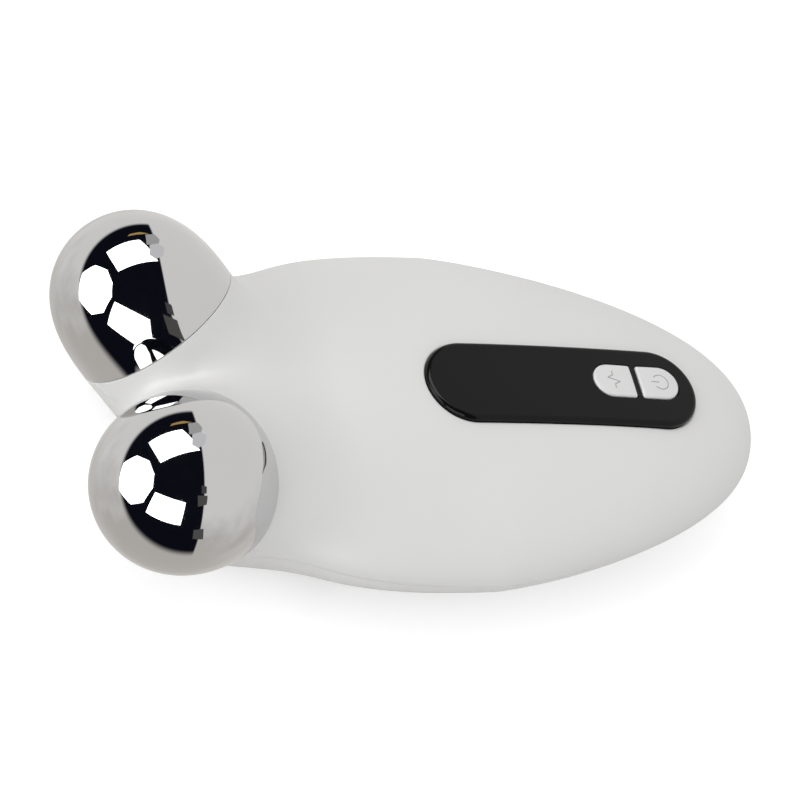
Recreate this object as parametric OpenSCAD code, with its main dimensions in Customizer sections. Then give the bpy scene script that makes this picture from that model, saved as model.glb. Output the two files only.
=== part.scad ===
/* [Body] */
// Width of the body at its widest
body_w = 79.2; // [76:0.2:84]
// Distance from the ball seams to the tail end
body_len = 128.2; // [124:0.2:136]
// Height of the back above the parting plane
back_h = 13.0; // [12.4:0.1:14]
// Depth of the belly below the parting plane before the resting face is cut
belly_h = 17.6; // [17:0.1:19]
// Height of the parting plane above the resting face
rest_h = 16; // [15.4:0.1:16.8]
// Wall thickness of both shells
wall = 2.2; // [2:0.1:2.4]
/* [Head] */
// Diameter of each ball at its seam
ball_d = 35; // [34:0.2:37]
// Length of each ball from its seam to its tip
ball_len = 23.9; // [23:0.1:27]
// Distance of each seam centre from the middle plane
ball_spread = 18.3; // [18:0.1:20]
// Height of the seam centres above the parting plane
ball_rise = 5.8; // [5.4:0.1:7]
// Angle of each ball's axis away from the middle plane
splay = 30.8; // [28:0.2:33]
// Angle of the ball axes above the parting plane
pitch = 40.3; // [38:0.2:43]
/* [Rollers] */
// Gap between a ball and its seam on the body
seam_gap = 0.3; // [0.3:0.1:0.8]
// Wall thickness of a ball
ball_wall = 1.5; // [1.2:0.1:2]
// Diameter of the running part of an axle
axle_d = 5; // [4.4:0.2:5.6]
// Diameter of the fixed root of an axle
root_d = 7; // [6.4:0.2:7.6]
// Running clearance round an axle, on the radius
run_gap = 0.05; // [0.02:0.01:0.09]
// Outer diameter of a bush
bush_od = 9; // [8.4:0.2:9.6]
// Length of a bush
bush_len = 4; // [3:0.5:5]
// Outer diameter of a hub's sleeve
hub_od = 12; // [11.4:0.2:13]
/* [Panel] */
// Length of the control panel
panel_len = 61.4; // [58:0.2:64]
// Width of the control panel
panel_w = 18.6; // [17.4:0.2:20]
// Distance from the panel's middle to the tail end
panel_to_tail = 47; // [46.4:0.2:49.2]
// Height of the panel's middle above the parting plane
panel_z = 13.2; // [12.9:0.1:13.6]
// Slope of the panel down to the tail
panel_tilt = 2.63; // [2.4:0.05:2.9]
// Drop of the panel's curved top from its middle to its ends
panel_crown = 0.75; // [0.5:0.05:0.9]
// Depth from the top of the panel's middle to its flat back
panel_depth = 2.2; // [2:0.1:2.4]
/* [Buttons] */
// Length of the pair of buttons, with the bar between them
pair_len = 19.9; // [19:0.1:21.5]
// Place of the pair's middle from the panel's middle
pair_at = 16.7; // [16:0.1:17.6]
// Sideways offset of the pair from the panel's middle line
pair_side = 1; // [0:0.1:1.2]
// Width of a button
button_w = 7.8; // [7.4:0.1:8.6]
// Width of the bar between the buttons
button_bar = 1.4; // [1.2:0.1:2]
// Height of a button's face above the panel
button_proud = 0.35; // [0.2:0.05:0.6]
// Gap round a button
button_gap = 0.2; // [0.12:0.02:0.3]
/* [Inside] */
// Length of the battery
battery_len = 40; // [34:1:42]
// Width of the battery
battery_w = 26; // [22:1:27]
// Height of the battery
battery_h = 6; // [5:0.2:7]
// Width of the circuit board
board_w = 26; // [23:0.5:27]
// Thickness of the circuit board
board_t = 1.2; // [1:0.1:1.4]
// Height of the charging socket's middle above the parting plane
socket_z = 1; // [0.9:0.1:1.4]
/* [Fasteners] */
// Diameter of every screw's shank
screw_d = 2.5; // [2.2:0.1:2.8]
// Diameter of every screw's head
head_d = 5; // [4.4:0.1:5.2]

/* [Hidden] */
$fn = 48;
big = 400;
left = -1;
right = 1;

// The body's egg: where it starts, is widest, tallest and deepest, and how its section rounds
front_x = 1.5;
widest_x = 61.5;
tallest_x = 38;
deepest_x = 29.8;
section_n = 2.05;
// The two arms that carry the balls
arm_len = 11;
arm_back_d = 34.4;
arm_over = 6;
// How far the forms melt into each other
web_blend = 6;
arm_blend = 12;
rest_blend = 3;
// The point that the nose of the skin is seen from, the height of the tail's tip, and the share of the
// length behind the nose over which the rays come down to the parting plane, and rise again at the tail
core = [10, 0, 3];
tip_z = 0.4;
core_share = 0.25;
// Distance from the tail end at which a wall's inner side ends
tail_wall = 6;

// The joint between the shells: a tongue on the lower one, a rebate in the upper one
tongue_h = 1.4;
gasket_h = 0.8;
tongue_gap = 0.1;
tongue_in = wall + 0.8;

// The balls' rounding, and their seats
dome_p = 2.6;
dome_q = 2;
hub_t = 2.6;
hub_start = seam_gap + 0.4;
hub_len = 16.2;
bond_gap = 0.05;
shoulder = hub_start - 0.2;
root_len = 12;
bracket_wall = 2;
tube_d = root_d + 5;
clip_t = 0.6;
clip_at = hub_start + hub_len + 0.3;
groove_d = axle_d - 1;
seal_d = root_d + 3;
terminal_t = 0.5;
terminal_d = 8;
root_fit = 0.02;
clip_d = 1.7 * axle_d;

// Fasteners
head_t = 1.8;
hole_d = screw_d + 0.4;
recess_d = head_d + 0.6;
tail_screw_x = body_len - 28.2;
shell_screws = [[30, 27], [30, -27], [tail_screw_x, 18], [tail_screw_x, -18]];
shell_screw_seat = -5;
shell_screw_top = 5;
small_screw_d = 2;
small_head_d = 4;
small_head_t = 1.3;
small_screw_bite = 3;

// The panel, its bed and the buttons
panel_x = body_len - panel_to_tail;
panel_gap = 0.12;
panel_bevel = 1;
bed_depth = panel_depth + 1.6;
button_len = (pair_len - button_bar) / 2;
button_corner = 0.5;
flange_t = 0.85;
flange_out = 0.8;
stem_d = 4;
stem_end_z = 4.45;
plunger_d = 3.2;
plunger_len = 2;

// The board and what stands on it
socket_h = 3.2;
socket_w = 9;
socket_len = 9;
socket_mouth = body_len - 1.8;
board_top = socket_z - socket_h / 2;
board_end = body_len - tail_wall - 2;
switch_w = 6;
switch_h = 3.9;
well_w = 4;
well_depth = 2;

// The battery on its tray, the board behind it and the bracket post before it
floor_z = wall - rest_h;
tray_h = 1.3;
tray_z = floor_z + tray_h;
pad_t = 0.8;
post_x = 14.5;
battery_x = post_x + 7.5;
battery_end = battery_x + battery_len;
board_start = battery_end + 4;
board_screw_in = 3;
board_screw_y = board_w / 2 - board_screw_in;
board_screw_spots = [
    [board_start + board_screw_in + 1, board_screw_y],
    [board_start + board_screw_in + 1, -board_screw_y],
    [socket_mouth - socket_len - 8.8, 0],
];
plate_z = -6;
plate_t = 2.5;
wire_d = 1.1;
wire_gap = 0.05;

// The ball seams' front, which with the tail gives the middle of the whole length
axis_x = cos(splay) * cos(pitch);
ball_front = max([
    for (i = [0 : 60])
        let (s = ball_len * i / 60) s * axis_x + dome(s) * sqrt(1 - axis_x * axis_x),
]);
mid_x = (body_len - ball_front) / 2;

// ---- The body's form, as a distance that is below zero inside ----

// Half of a rounded profile at x: it rises from the front to its middle and falls to the tail
function half(x, mid, size, head_p, head_q, tail_p, tail_q) =
    x >= body_len || x <= front_x ? 0
    : x > mid ? size * pow(1 - pow((x - mid) / (body_len - mid), tail_p), 1 / tail_q)
    : size * pow(1 - pow((mid - x) / (mid - front_x), head_p), 1 / head_q);
function width_at(x) = half(x, widest_x, body_w / 2, 2.74, 2.28, 1.32, 2.33);
function back_at(x) = half(x, tallest_x, back_h, 2.2, 2.2, 2.8, 3.0);
function belly_at(x) = half(x, deepest_x, belly_h, 3.0, 2.6, 1.55, 1.6);

// Smooth joining of two distances over the width k
function blend(a, b, k) =
    let (h = max(k - abs(a - b), 0) / k)
    min(a, b) - h * h * k / 4;

function ball_axis(side) = [-cos(splay) * cos(pitch), side * sin(splay), cos(splay) * sin(pitch)];
function seam_centre(side) = [0, side * ball_spread, ball_rise];

function egg(p) =
    let (r = norm([p.y, p.z]))
    p.x <= front_x ? norm([r, front_x - p.x])
    : r < 0.001 ? -min(width_at(p.x), belly_at(p.x))
    : let (
        w = max(width_at(p.x), 0.001),
        h = max(p.z >= 0 ? back_at(p.x) : belly_at(p.x), 0.001),
        q = pow(pow(abs(p.y) / w, section_n) + pow(abs(p.z) / h, section_n), 1 / section_n)
    ) r - r / q;

function arm(p, side) =
    let (
        d = p - seam_centre(side),
        t = d * ball_axis(side),
        back = max(t, -arm_len),
        r = (ball_d + (ball_d - arm_back_d) * min(back, 0) / arm_len) / 2
    ) max(norm(d - back * ball_axis(side)) - r, t - arm_over);

function form(p) =
    let (arms = blend(arm(p, left), arm(p, right), web_blend))
    -blend(-blend(arms, egg(p), arm_blend), p.z + rest_h, rest_blend);

// First point along a ray at which the form passes a level: steps out, then halves the last step
function march(from, way, level, r, step) =
    form(from + (r + step) * way) > level ? r : march(from, way, level, r + step, step);
function settle(from, way, level, low, high, n) =
    n == 0 ? low
    : let (m = (low + high) / 2)
    form(from + m * way) > level ? settle(from, way, level, low, m, n - 1)
    : settle(from, way, level, m, high, n - 1);
function skin_point(from, way, level, step = 2) =
    let (r = march(from, way, level, 0, step))
    from + settle(from, way, level, r, r + step, 12) * way;

// Rays that fan out round the nose, then stand square to the length
function nose_ray(t, a) = [core, [-cos(90 * t), sin(90 * t) * cos(a), sin(90 * t) * sin(a)]];
function ray_z(t) =
    core.z * pow(max(1 - t / core_share, 0), 2) + tip_z * pow(max((t - 1) / core_share + 1, 0), 2);
function side_ray(t, a, end) = [
    [core.x + (end - core.x) * sin(90 * t), 0, ray_z(t)],
    [0, cos(a), sin(a)],
];
function ring(i, nose, rings, around, level, end) = [
    for (j = [0 : around - 1])
        let (
            a = 360 * j / around,
            ray = i < nose ? nose_ray(i / nose, a) : side_ray((i - nose) / (rings - nose), a, end)
        ) skin_point(ray[0], ray[1], level)
];

// Closed skin at a level of the form: a tip, rings of points and the tail's point
module skin(level, nose, rings, around, end) {
    tip = skin_point(core, [-1, 0, 0], level);
    points = [tip, for (i = [1 : rings - 1]) each ring(i, nose, rings, around, level, end), [end, 0, tip_z]];
    last = len(points) - 1;
    tail = 1 + (rings - 2) * around;
    faces = [
        for (j = [0 : around - 1]) [0, 1 + j, 1 + (j + 1) % around],
        for (i = [0 : rings - 3], j = [0 : around - 1])
            let (a = 1 + i * around + j, b = 1 + i * around + (j + 1) % around)
                each [[a, b + around, b], [a, a + around, b + around]],
        for (j = [0 : around - 1]) [last, tail + (j + 1) % around, tail + j],
    ];
    polyhedron(points, faces);
}

// ---- Places ----

module placed() {
    translate([-mid_x, 0, rest_h]) children();
}

// Along a ball's axis, with its seam at zero
module at_seam(side) {
    n = ball_axis(side);
    translate(seam_centre(side)) rotate([0, acos(n.z), atan2(n.y, n.x)]) children();
}

module both_seams() {
    for (side = [left, right]) at_seam(side) children();
}

// On the panel's middle, with z square to it and x towards the tail
module on_panel(along = 0) {
    translate([panel_x, 0, panel_z]) rotate([0, panel_tilt, 0]) translate([along, 0, 0]) children();
}

// From a point on the tail's axis, with z towards the tail
module towards_tail(x, z) {
    translate([x, 0, z]) rotate([90, 0, 90]) children();
}

module above_parting() {
    translate([-big / 2, -big / 2, 0]) cube(big);
}

module below_parting() {
    translate([-big / 2, -big / 2, -big]) cube(big);
}

module beyond_seams(depth) {
    both_seams() translate([-big / 2, -big / 2, -depth]) cube(big);
}

// ---- Outlines ----

module stadium(length, width) {
    for (end = [-1, 1]) translate([end * (length - width) / 2, 0]) circle(d = width);
    square([length - width, width], center = true);
}

module rounded_rect(length, width, r) {
    square([length - 2 * r, width], center = true);
    square([length, width - 2 * r], center = true);
    for (x = [-1, 1], y = [-1, 1]) translate([x * (length / 2 - r), y * (width / 2 - r)]) circle(r = r);
}

// A button: flat towards the bar at zero, round at its far end, grown all round
module button_outline(grow) {
    r = button_w / 2;
    c = button_corner + grow;
    translate([button_len - r, 0]) circle(r = r + grow);
    translate([c - grow, -r - grow]) square([button_len - r - c + grow, 2 * (r + grow)]);
    translate([-grow, c - r - grow]) square([button_len - r + grow, 2 * (r + grow - c)]);
    for (y = [-1, 1]) translate([c - grow, y * (r + grow - c)]) circle(r = c, $fn = 24);
}

// Outline of the form where it crosses the parting plane, at a level inside the skin
function rim_ray(t, y) =
    t < 1 ? [[core.x, 0, 0], [-cos(90 * t), y * sin(90 * t), 0]] : [[0, 0, 0], [0, y, 0]];
function rim_points(level, end, y, n = 8, m = 18) = [
    for (i = [0 : n - 1]) let (ray = rim_ray(i / n, y)) skin_point(ray[0], ray[1], level),
    for (i = [0 : m - 1])
        skin_point([core.x + (end - core.x) * sin(90 * i / m), 0, 0], [0, y, 0], level),
];
module rim(level, end, low, high) {
    one = rim_points(level, end, 1);
    other = rim_points(level, end, -1);
    points = [
        for (p = one) [p.x, p.y],
        [end, 0],
        for (i = [len(other) - 1 : -1 : 1]) [other[i].x, other[i].y],
    ];
    translate([0, 0, low]) linear_extrude(high - low) polygon(points);
}
module rim_ring(outer_level, inner_level, low, high) {
    difference() {
        rim(-outer_level, body_len - outer_level - 0.5, low, high);
        rim(-inner_level, body_len - tail_wall - inner_level + wall, low - 1, high + 1);
        beyond_seams(wall + 0.4);
    }
}

// ---- Housing ----

module outer() {
    difference() {
        skin(0, 11, 40, 52, body_len - 0.01);
        beyond_seams(0);
        translate([-big / 2, -big / 2, -big - rest_h]) cube(big);
    }
}

module cavity() {
    difference() {
        skin(-wall, 9, 24, 36, body_len - tail_wall);
        beyond_seams(wall);
    }
}

module shell_bosses(d) {
    for (p = shell_screws) translate([p.x, p.y, -big / 8]) cylinder(h = big / 4, d = d);
}

module axle_holes() {
    both_seams() translate([0, 0, -wall - 1]) cylinder(h = wall + 2, d = seal_d);
}

module socket_opening() {
    towards_tail(board_end - 3, socket_z) linear_extrude(20) stadium(socket_w + 0.6, socket_h + 0.6);
}

// Each button's place: its side of the bar
module at_button(way) {
    on_panel(pair_at + way * button_bar / 2) translate([0, pair_side, 0])
        mirror([way < 0 ? 1 : 0, 0, 0]) children();
}

module button_holes(low, high) {
    for (way = [-1, 1]) at_button(way) translate([0, 0, low])
        linear_extrude(high - low) button_outline(button_gap);
}

// Bed under the panel, deeper where it carries the buttons' flanges
module panel_bed() {
    on_panel() translate([0, 0, -panel_depth - 1.2]) linear_extrude(2) stadium(panel_len - 2, panel_w - 2);
    on_panel(pair_at) translate([0, pair_side, -bed_depth])
        linear_extrude(3) rounded_rect(pair_len + 5, button_w + 5, 2);
}

module upper_shell() {
    color("whitesmoke") placed() difference() {
        intersection() {
            outer();
            above_parting();
        }
        difference() {
            cavity();
            shell_bosses(6.5);
            panel_bed();
        }
        rim_ring(wall / 2 - tongue_gap / 2, wall + 2, -1, tongue_h + gasket_h);
        on_panel() translate([0, 0, -panel_depth]) linear_extrude(10)
            stadium(panel_len + 2 * panel_gap, panel_w + 2 * panel_gap);
        button_holes(-bed_depth - 1, 0);
        for (p = shell_screws) translate([p.x, p.y, -1]) cylinder(h = shell_screw_top + 1.5, d = screw_d);
        axle_holes();
        socket_opening();
    }
}

module lower_solids() {
    shell_bosses(8.4);
    translate([post_x, 0, plate_z - 20]) cylinder(h = 20, d = 7);
    for (p = board_screw_spots) translate([p.x, p.y, board_top - board_t - 20]) cylinder(h = 20, d = 5);
    translate([battery_x, -battery_w / 2, floor_z - 1]) cube([battery_len, battery_w, tray_h + 1]);
    for (side = [-1, 1]) translate([battery_x, side * (battery_w / 2 + 0.9) - 0.6, floor_z - 1])
        cube([battery_len, 1.2, battery_h]);
}

module lower_shell() {
    color("gainsboro") placed() difference() {
        union() {
            difference() {
                intersection() {
                    outer();
                    below_parting();
                }
                difference() {
                    cavity();
                    lower_solids();
                }
            }
            rim_ring(wall / 2 + tongue_gap / 2, tongue_in, -2.4, tongue_h);
        }
        for (p = shell_screws) translate([p.x, p.y, shell_screw_seat]) {
            cylinder(h = 8, d = hole_d);
            translate([0, 0, -20]) cylinder(h = 20, d = recess_d);
        }
        translate([post_x, 0, plate_z - 5.5]) cylinder(h = 6, d = screw_d);
        for (p = board_screw_spots) translate([p.x, p.y, board_top - board_t - small_screw_bite - 0.2])
            cylinder(h = small_screw_bite + 1, d = small_screw_d);
        axle_holes();
        socket_opening();
    }
}

module shell_gasket() {
    color("dimgray") placed() difference() {
        rim_ring(wall / 2 - tongue_gap / 2, tongue_in, tongue_h, tongue_h + gasket_h);
        socket_opening();
    }
}

// A screw with its head's underside at zero, pointing down
module screw(d, length, head, head_h) {
    translate([0, 0, -length]) cylinder(h = length, d = d);
    difference() {
        cylinder(h = head_h, d = head);
        translate([0, 0, head_h - 0.9]) {
            translate([-head * 0.32, -0.35, 0]) cube([head * 0.64, 0.7, 2]);
            translate([-0.35, -head * 0.32, 0]) cube([0.7, head * 0.64, 2]);
        }
    }
}

module housing_screws() {
    color("silver") placed() for (p = shell_screws)
        translate([p.x, p.y, shell_screw_seat]) rotate([180, 0, 0])
            screw(screw_d, shell_screw_top - shell_screw_seat, head_d, head_t);
}

// ---- Control panel and buttons ----

// Height of the panel's curved top above its middle
function crown_at(u) = -panel_crown * pow(2 * u / panel_len, 2);

// Slab under the curved top, lowered by drop and drawn in at its edge
module crowned_slab(drop, inset) {
    n = 12;
    ends = panel_len / 2 + 1;
    intersection() {
        rotate([90, 0, 0]) linear_extrude(panel_w + 2, center = true) polygon([
            for (i = [-n : n]) [ends * i / n, crown_at(ends * i / n) - drop],
            [ends, -panel_depth],
            [-ends, -panel_depth],
        ]);
        translate([0, 0, -panel_depth]) linear_extrude(panel_depth + 1)
            stadium(panel_len - 2 * inset, panel_w - 2 * inset);
    }
}

module control_panel() {
    color("#242424") placed() difference() {
        on_panel() hull() {
            crowned_slab(0, panel_bevel);
            crowned_slab(panel_bevel * 0.3, panel_bevel * 0.3);
            crowned_slab(panel_bevel * 0.8, 0);
        }
        button_holes(-panel_depth - 1, 2);
    }
}

// Distance from the pair's middle bar to a button's stem, and the stem's place on the panel
stem_out = button_bar / 2 + button_len / 2 - 0.3;
function stem_u(way) = pair_at + way * stem_out;
// Depth below the panel's plane at which a stem reaches a given height
function depth_at(way, z) = (panel_z - stem_u(way) * sin(panel_tilt) - z) / cos(panel_tilt);

module at_stem(way) {
    on_panel(stem_u(way)) translate([0, pair_side, 0]) children();
}

module button(way) {
    face = crown_at(stem_u(way)) + button_proud;
    flange = -bed_depth - 0.05;
    end = -depth_at(way, stem_end_z);
    color("gainsboro") placed() {
        at_button(way) translate([0, 0, flange - flange_t]) {
            linear_extrude(flange_t) button_outline(flange_way(way));
            linear_extrude(face - flange + flange_t) button_outline(0);
        }
        at_stem(way) translate([0, 0, end]) cylinder(h = flange - flange_t - end + 0.3, d = stem_d);
    }
}
// A flange stands out all round, but stays clear of the other button's at the bar
function flange_way(way) = min(flange_out, button_bar / 2 - 0.1);

module mode_button() {
    button(-1);
}

module power_button() {
    button(1);
}

module plunger(way) {
    color("black") placed() at_stem(way) translate([0, 0, -depth_at(way, stem_end_z) - plunger_len])
        cylinder(h = plunger_len, d = plunger_d);
}

module mode_plunger() {
    plunger(-1);
}

module power_plunger() {
    plunger(1);
}

// Place of a stem's foot along the body
function foot_x(way) = panel_x + stem_u(way) * cos(panel_tilt) - depth_at(way, stem_end_z) * sin(panel_tilt);

module tact_switch(way) {
    color("darkslategray") placed() translate([foot_x(way), pair_side, board_top]) difference() {
        translate([-switch_w / 2, -switch_w / 2, 0]) cube([switch_w, switch_w, switch_h]);
        translate([-well_w / 2, -well_w / 2, switch_h - well_depth]) cube([well_w, well_w, well_depth + 1]);
    }
}

module mode_switch() {
    tact_switch(-1);
}

module power_switch() {
    tact_switch(1);
}

// ---- Board, socket and battery ----

module circuit_board() {
    half_w = board_w / 2;
    taper = board_end - 14;
    color("seagreen") placed() translate([0, 0, board_top - board_t]) difference() {
        linear_extrude(board_t) polygon([
            [board_start, -half_w], [taper, -half_w], [board_end, -half_w * 0.54],
            [board_end, half_w * 0.54], [taper, half_w], [board_start, half_w],
        ]);
        for (p = board_screw_spots) translate([p.x, p.y, -1])
            cylinder(h = board_t + 2, d = small_screw_d + 0.2);
    }
}

module board_screws() {
    color("silver") placed() for (p = board_screw_spots) translate([p.x, p.y, board_top])
        screw(small_screw_d, board_t + small_screw_bite, small_head_d, small_head_t);
}

module charge_socket() {
    skin_t = 0.3;
    blade = [6.7, 0.7, 5];
    color("silver") placed() towards_tail(socket_mouth - socket_len, socket_z) {
        difference() {
            linear_extrude(socket_len) stadium(socket_w, socket_h);
            translate([0, 0, 1]) linear_extrude(socket_len)
                stadium(socket_w - 2 * skin_t, socket_h - 2 * skin_t);
        }
        translate([-blade.x / 2, -blade.y / 2, 0.5]) cube([blade.x, blade.y, blade.z + 0.5]);
    }
}

module battery() {
    color("steelblue") placed() translate([battery_x + battery_len / 2, 0, tray_z + pad_t])
        linear_extrude(battery_h) rounded_rect(battery_len, battery_w, 2);
}

module battery_pad() {
    color("black") placed() translate([battery_x + battery_len / 2, 0, tray_z])
        linear_extrude(pad_t) rounded_rect(battery_len - 4, battery_w - 4, 2);
}

// Corners of a path, cut so that it bends softly
function softened(path, times = 1) =
    times == 0 ? path
    : softened([
        path[0],
        for (i = [1 : len(path) - 1]) each [
            0.75 * path[i - 1] + 0.25 * path[i],
            0.25 * path[i - 1] + 0.75 * path[i],
        ],
        path[len(path) - 1],
    ], times - 1);

// Insulated wire along a path: rings of points square to its direction, in one closed skin
module wire(corners, d, sides = 8) {
    path = softened(corners);
    last = len(path) - 1;
    away = [0.1, 1, 0.2];
    points = [
        for (i = [0 : last])
            let (
                way = path[min(i + 1, last)] - path[max(i - 1, 0)],
                u = cross(way, away) / norm(cross(way, away)),
                v = cross(way, u) / norm(way)
            )
                for (j = [0 : sides - 1])
                    let (a = 360 * j / sides) path[i] + d / 2 * (cos(a) * u + sin(a) * v),
    ];
    faces = [
        [for (j = [0 : sides - 1]) j],
        for (i = [0 : last - 1], j = [0 : sides - 1])
            let (a = i * sides + j, b = i * sides + (j + 1) % sides)
                each [[a, b + sides, b], [a, a + sides, b + sides]],
        [for (j = [sides - 1 : -1 : 0]) last * sides + j],
    ];
    polyhedron(points, faces);
}

module battery_leads() {
    mid = tray_z + pad_t + battery_h / 2;
    loop = board_top + 1.6;
    bend = battery_end + 2 * wire_d;
    pad = board_start + 1.5 * wire_d;
    color("firebrick") placed() for (y = [-2, 2]) wire([
        [battery_end, y, mid], [bend, y, mid], [bend, y, loop], [pad, y, loop], [pad, y, board_top],
    ], wire_d);
}

module electrode_leads() {
    terminal = -root_len - bracket_wall;
    pad = board_start + 1.5 * wire_d;
    color("goldenrod") placed() for (side = [left, right]) {
        n = ball_axis(side);
        up = [n.x * n.z, n.y * n.z, -(n.x * n.x + n.y * n.y)] / -norm([n.x, n.y]);
        start = seam_centre(side) + (terminal - wire_d / 2 - wire_gap) * n + (head_d / 2 + wire_d) * up;
        at_seam(side) translate([0, 0, terminal - terminal_t]) difference() {
            cylinder(h = terminal_t, d = terminal_d);
            translate([0, 0, -1]) cylinder(h = terminal_t + 2, d = hole_d);
        }
        over = board_top + 2 * wire_d;
        wire([
            start, start + 2 * wire_d * up, [18, side * 6, over],
            [pad, side * 6, over], [pad, side * 6, board_top],
        ], wire_d);
    }
}

// ---- What carries the balls ----

module axle_bracket() {
    tube_len = root_len + bracket_wall - wall;
    color("slategray") placed() difference() {
        union() {
            both_seams() translate([0, 0, -root_len - bracket_wall]) cylinder(h = tube_len, d = tube_d);
            translate([1, -11, plate_z]) cube([5, 22, 7]);
            translate([1, -5.5, plate_z]) cube([post_x + 3, 11, plate_t]);
        }
        both_seams() translate([0, 0, -root_len]) cylinder(h = root_len, d = root_d + 2 * root_fit);
        both_seams() translate([0, 0, -root_len - bracket_wall - 1])
            cylinder(h = bracket_wall + 2, d = hole_d);
        translate([post_x, 0, plate_z - 1]) cylinder(h = plate_t + 2, d = hole_d);
    }
}

module bracket_screw() {
    color("silver") placed() translate([post_x, 0, plate_z + plate_t])
        screw(screw_d, plate_t + 5, head_d, head_t);
}

module axle(side) {
    tip = clip_at + clip_t + 0.7;
    color("silver") placed() at_seam(side) difference() {
        union() {
            translate([0, 0, -root_len]) cylinder(h = root_len + shoulder, d = root_d);
            cylinder(h = tip, d = axle_d);
        }
        translate([0, 0, clip_at - 0.05]) difference() {
            cylinder(h = clip_t + 0.1, d = axle_d + 1);
            translate([0, 0, -1]) cylinder(h = clip_t + 2, d = groove_d);
        }
        translate([0, 0, -root_len - 1]) cylinder(h = 8, d = screw_d);
    }
}

module left_axle() {
    axle(left);
}

module right_axle() {
    axle(right);
}

module axle_screws() {
    seat = root_len + bracket_wall + terminal_t;
    color("silver") placed() both_seams() translate([0, 0, -seat]) rotate([180, 0, 0])
        screw(screw_d, bracket_wall + terminal_t + 6, head_d, head_t);
}

module shaft_seals() {
    color("black") placed() both_seams() translate([0, 0, -wall + 0.3]) difference() {
        cylinder(h = wall - 0.6, d = seal_d);
        translate([0, 0, -1]) cylinder(h = wall + 2, d = root_d);
    }
}

module axle_clips() {
    color("dimgray") placed() both_seams() translate([0, 0, clip_at]) difference() {
        cylinder(h = clip_t, d = clip_d);
        translate([0, 0, -1]) cylinder(h = clip_t + 2, d = groove_d);
        translate([0, -groove_d * 0.45, -1]) cube([clip_d, groove_d * 0.9, clip_t + 2]);
    }
}

// ---- Balls ----

// Radius of a ball at a distance from its seam, and of its hollow
function dome(s) = ball_d / 2 * pow(max(1 - pow(s / ball_len, dome_p), 0), 1 / dome_q);
hollow_start = hub_start + hub_t;
function hollow(s) =
    let (t = (s - hollow_start) / (ball_len - ball_wall - hollow_start))
    (ball_d / 2 - ball_wall) * pow(max(1 - pow(max(t, 0), dome_p), 0), 1 / dome_q);

module ball(side) {
    n = 24;
    tip = ball_len - ball_wall;
    color("#c8ccd0") placed() at_seam(side) rotate_extrude($fn = 64) polygon([
        for (i = [0 : n]) let (s = seam_gap + (ball_len - seam_gap) * sin(90 * i / n)) [dome(s), s],
        for (i = [n : -1 : 0]) let (s = hollow_start + (tip - hollow_start) * sin(90 * i / n)) [hollow(s), s],
        [ball_d / 2 - ball_wall, seam_gap],
    ]);
}

module left_ball() {
    ball(left);
}

module right_ball() {
    ball(right);
}

// A hub closes its ball's open end and holds a bush at each end of its sleeve
module hub(side) {
    pocket = bush_od + 0.04;
    color("white") placed() at_seam(side) translate([0, 0, hub_start]) difference() {
        union() {
            cylinder(h = hub_t, d = ball_d - 2 * ball_wall - 2 * bond_gap);
            cylinder(h = hub_len, d = hub_od);
        }
        translate([0, 0, -1]) cylinder(h = hub_len + 2, d = axle_d + 1.5);
        translate([0, 0, -1]) cylinder(h = bush_len + 1, d = pocket);
        translate([0, 0, hub_len - bush_len]) cylinder(h = bush_len + 1, d = pocket);
    }
}

module left_hub() {
    hub(left);
}

module right_hub() {
    hub(right);
}

module bushes(side) {
    color("peru") placed() at_seam(side) for (at = [0, hub_len - bush_len])
        translate([0, 0, hub_start + at]) difference() {
            cylinder(h = bush_len, d = bush_od);
            translate([0, 0, -1]) cylinder(h = bush_len + 2, d = axle_d + 2 * run_gap);
        }
}

module left_bushes() {
    bushes(left);
}

module right_bushes() {
    bushes(right);
}

upper_shell();
lower_shell();
shell_gasket();
housing_screws();
control_panel();
mode_button();
power_button();
mode_plunger();
power_plunger();
mode_switch();
power_switch();
circuit_board();
board_screws();
charge_socket();
battery();
battery_pad();
battery_leads();
electrode_leads();
axle_bracket();
bracket_screw();
left_axle();
right_axle();
axle_screws();
shaft_seals();
axle_clips();
left_ball();
right_ball();
left_hub();
right_hub();
left_bushes();
right_bushes();
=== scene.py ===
"""Facial toning device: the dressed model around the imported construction.

Shapes are worked out in millimetres in the housing's own frame, with x towards the tail, y to the right and
z up from the parting plane, and are moved into the shared frame, in metres, when their mesh is made.
"""
import logging
import math
from contextlib import contextmanager
from dataclasses import dataclass
from enum import Enum
from functools import partial
from typing import Callable, Iterator, Sequence

import bmesh
import bpy
import numpy as np
from mathutils import Matrix, Vector


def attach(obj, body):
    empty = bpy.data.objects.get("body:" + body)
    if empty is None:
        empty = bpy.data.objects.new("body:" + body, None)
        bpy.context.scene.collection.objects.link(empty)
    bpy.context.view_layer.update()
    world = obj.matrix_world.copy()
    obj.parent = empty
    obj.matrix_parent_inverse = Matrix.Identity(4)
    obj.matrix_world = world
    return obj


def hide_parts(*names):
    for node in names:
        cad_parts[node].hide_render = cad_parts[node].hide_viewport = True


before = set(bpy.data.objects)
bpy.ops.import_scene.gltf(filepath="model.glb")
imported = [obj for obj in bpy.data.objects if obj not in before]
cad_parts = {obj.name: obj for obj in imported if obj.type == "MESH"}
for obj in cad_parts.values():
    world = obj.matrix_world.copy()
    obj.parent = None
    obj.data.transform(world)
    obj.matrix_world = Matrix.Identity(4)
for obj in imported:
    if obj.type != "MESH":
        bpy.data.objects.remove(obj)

LOG = logging.getLogger("toning_device")
MM = 0.001
TINY = 1e-9
STEP = 1e-3
QUARTER = math.pi / 2
UP = np.array([0.0, 0.0, 1.0])

Points = np.ndarray
Faces = list[tuple[int, ...]]
Pair = tuple[float, float]
Triple = tuple[float, float, float]
Colour = Triple
Socket = bpy.types.NodeSocket
NormalRule = Callable[[Points], tuple[Points, Points]]


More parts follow.
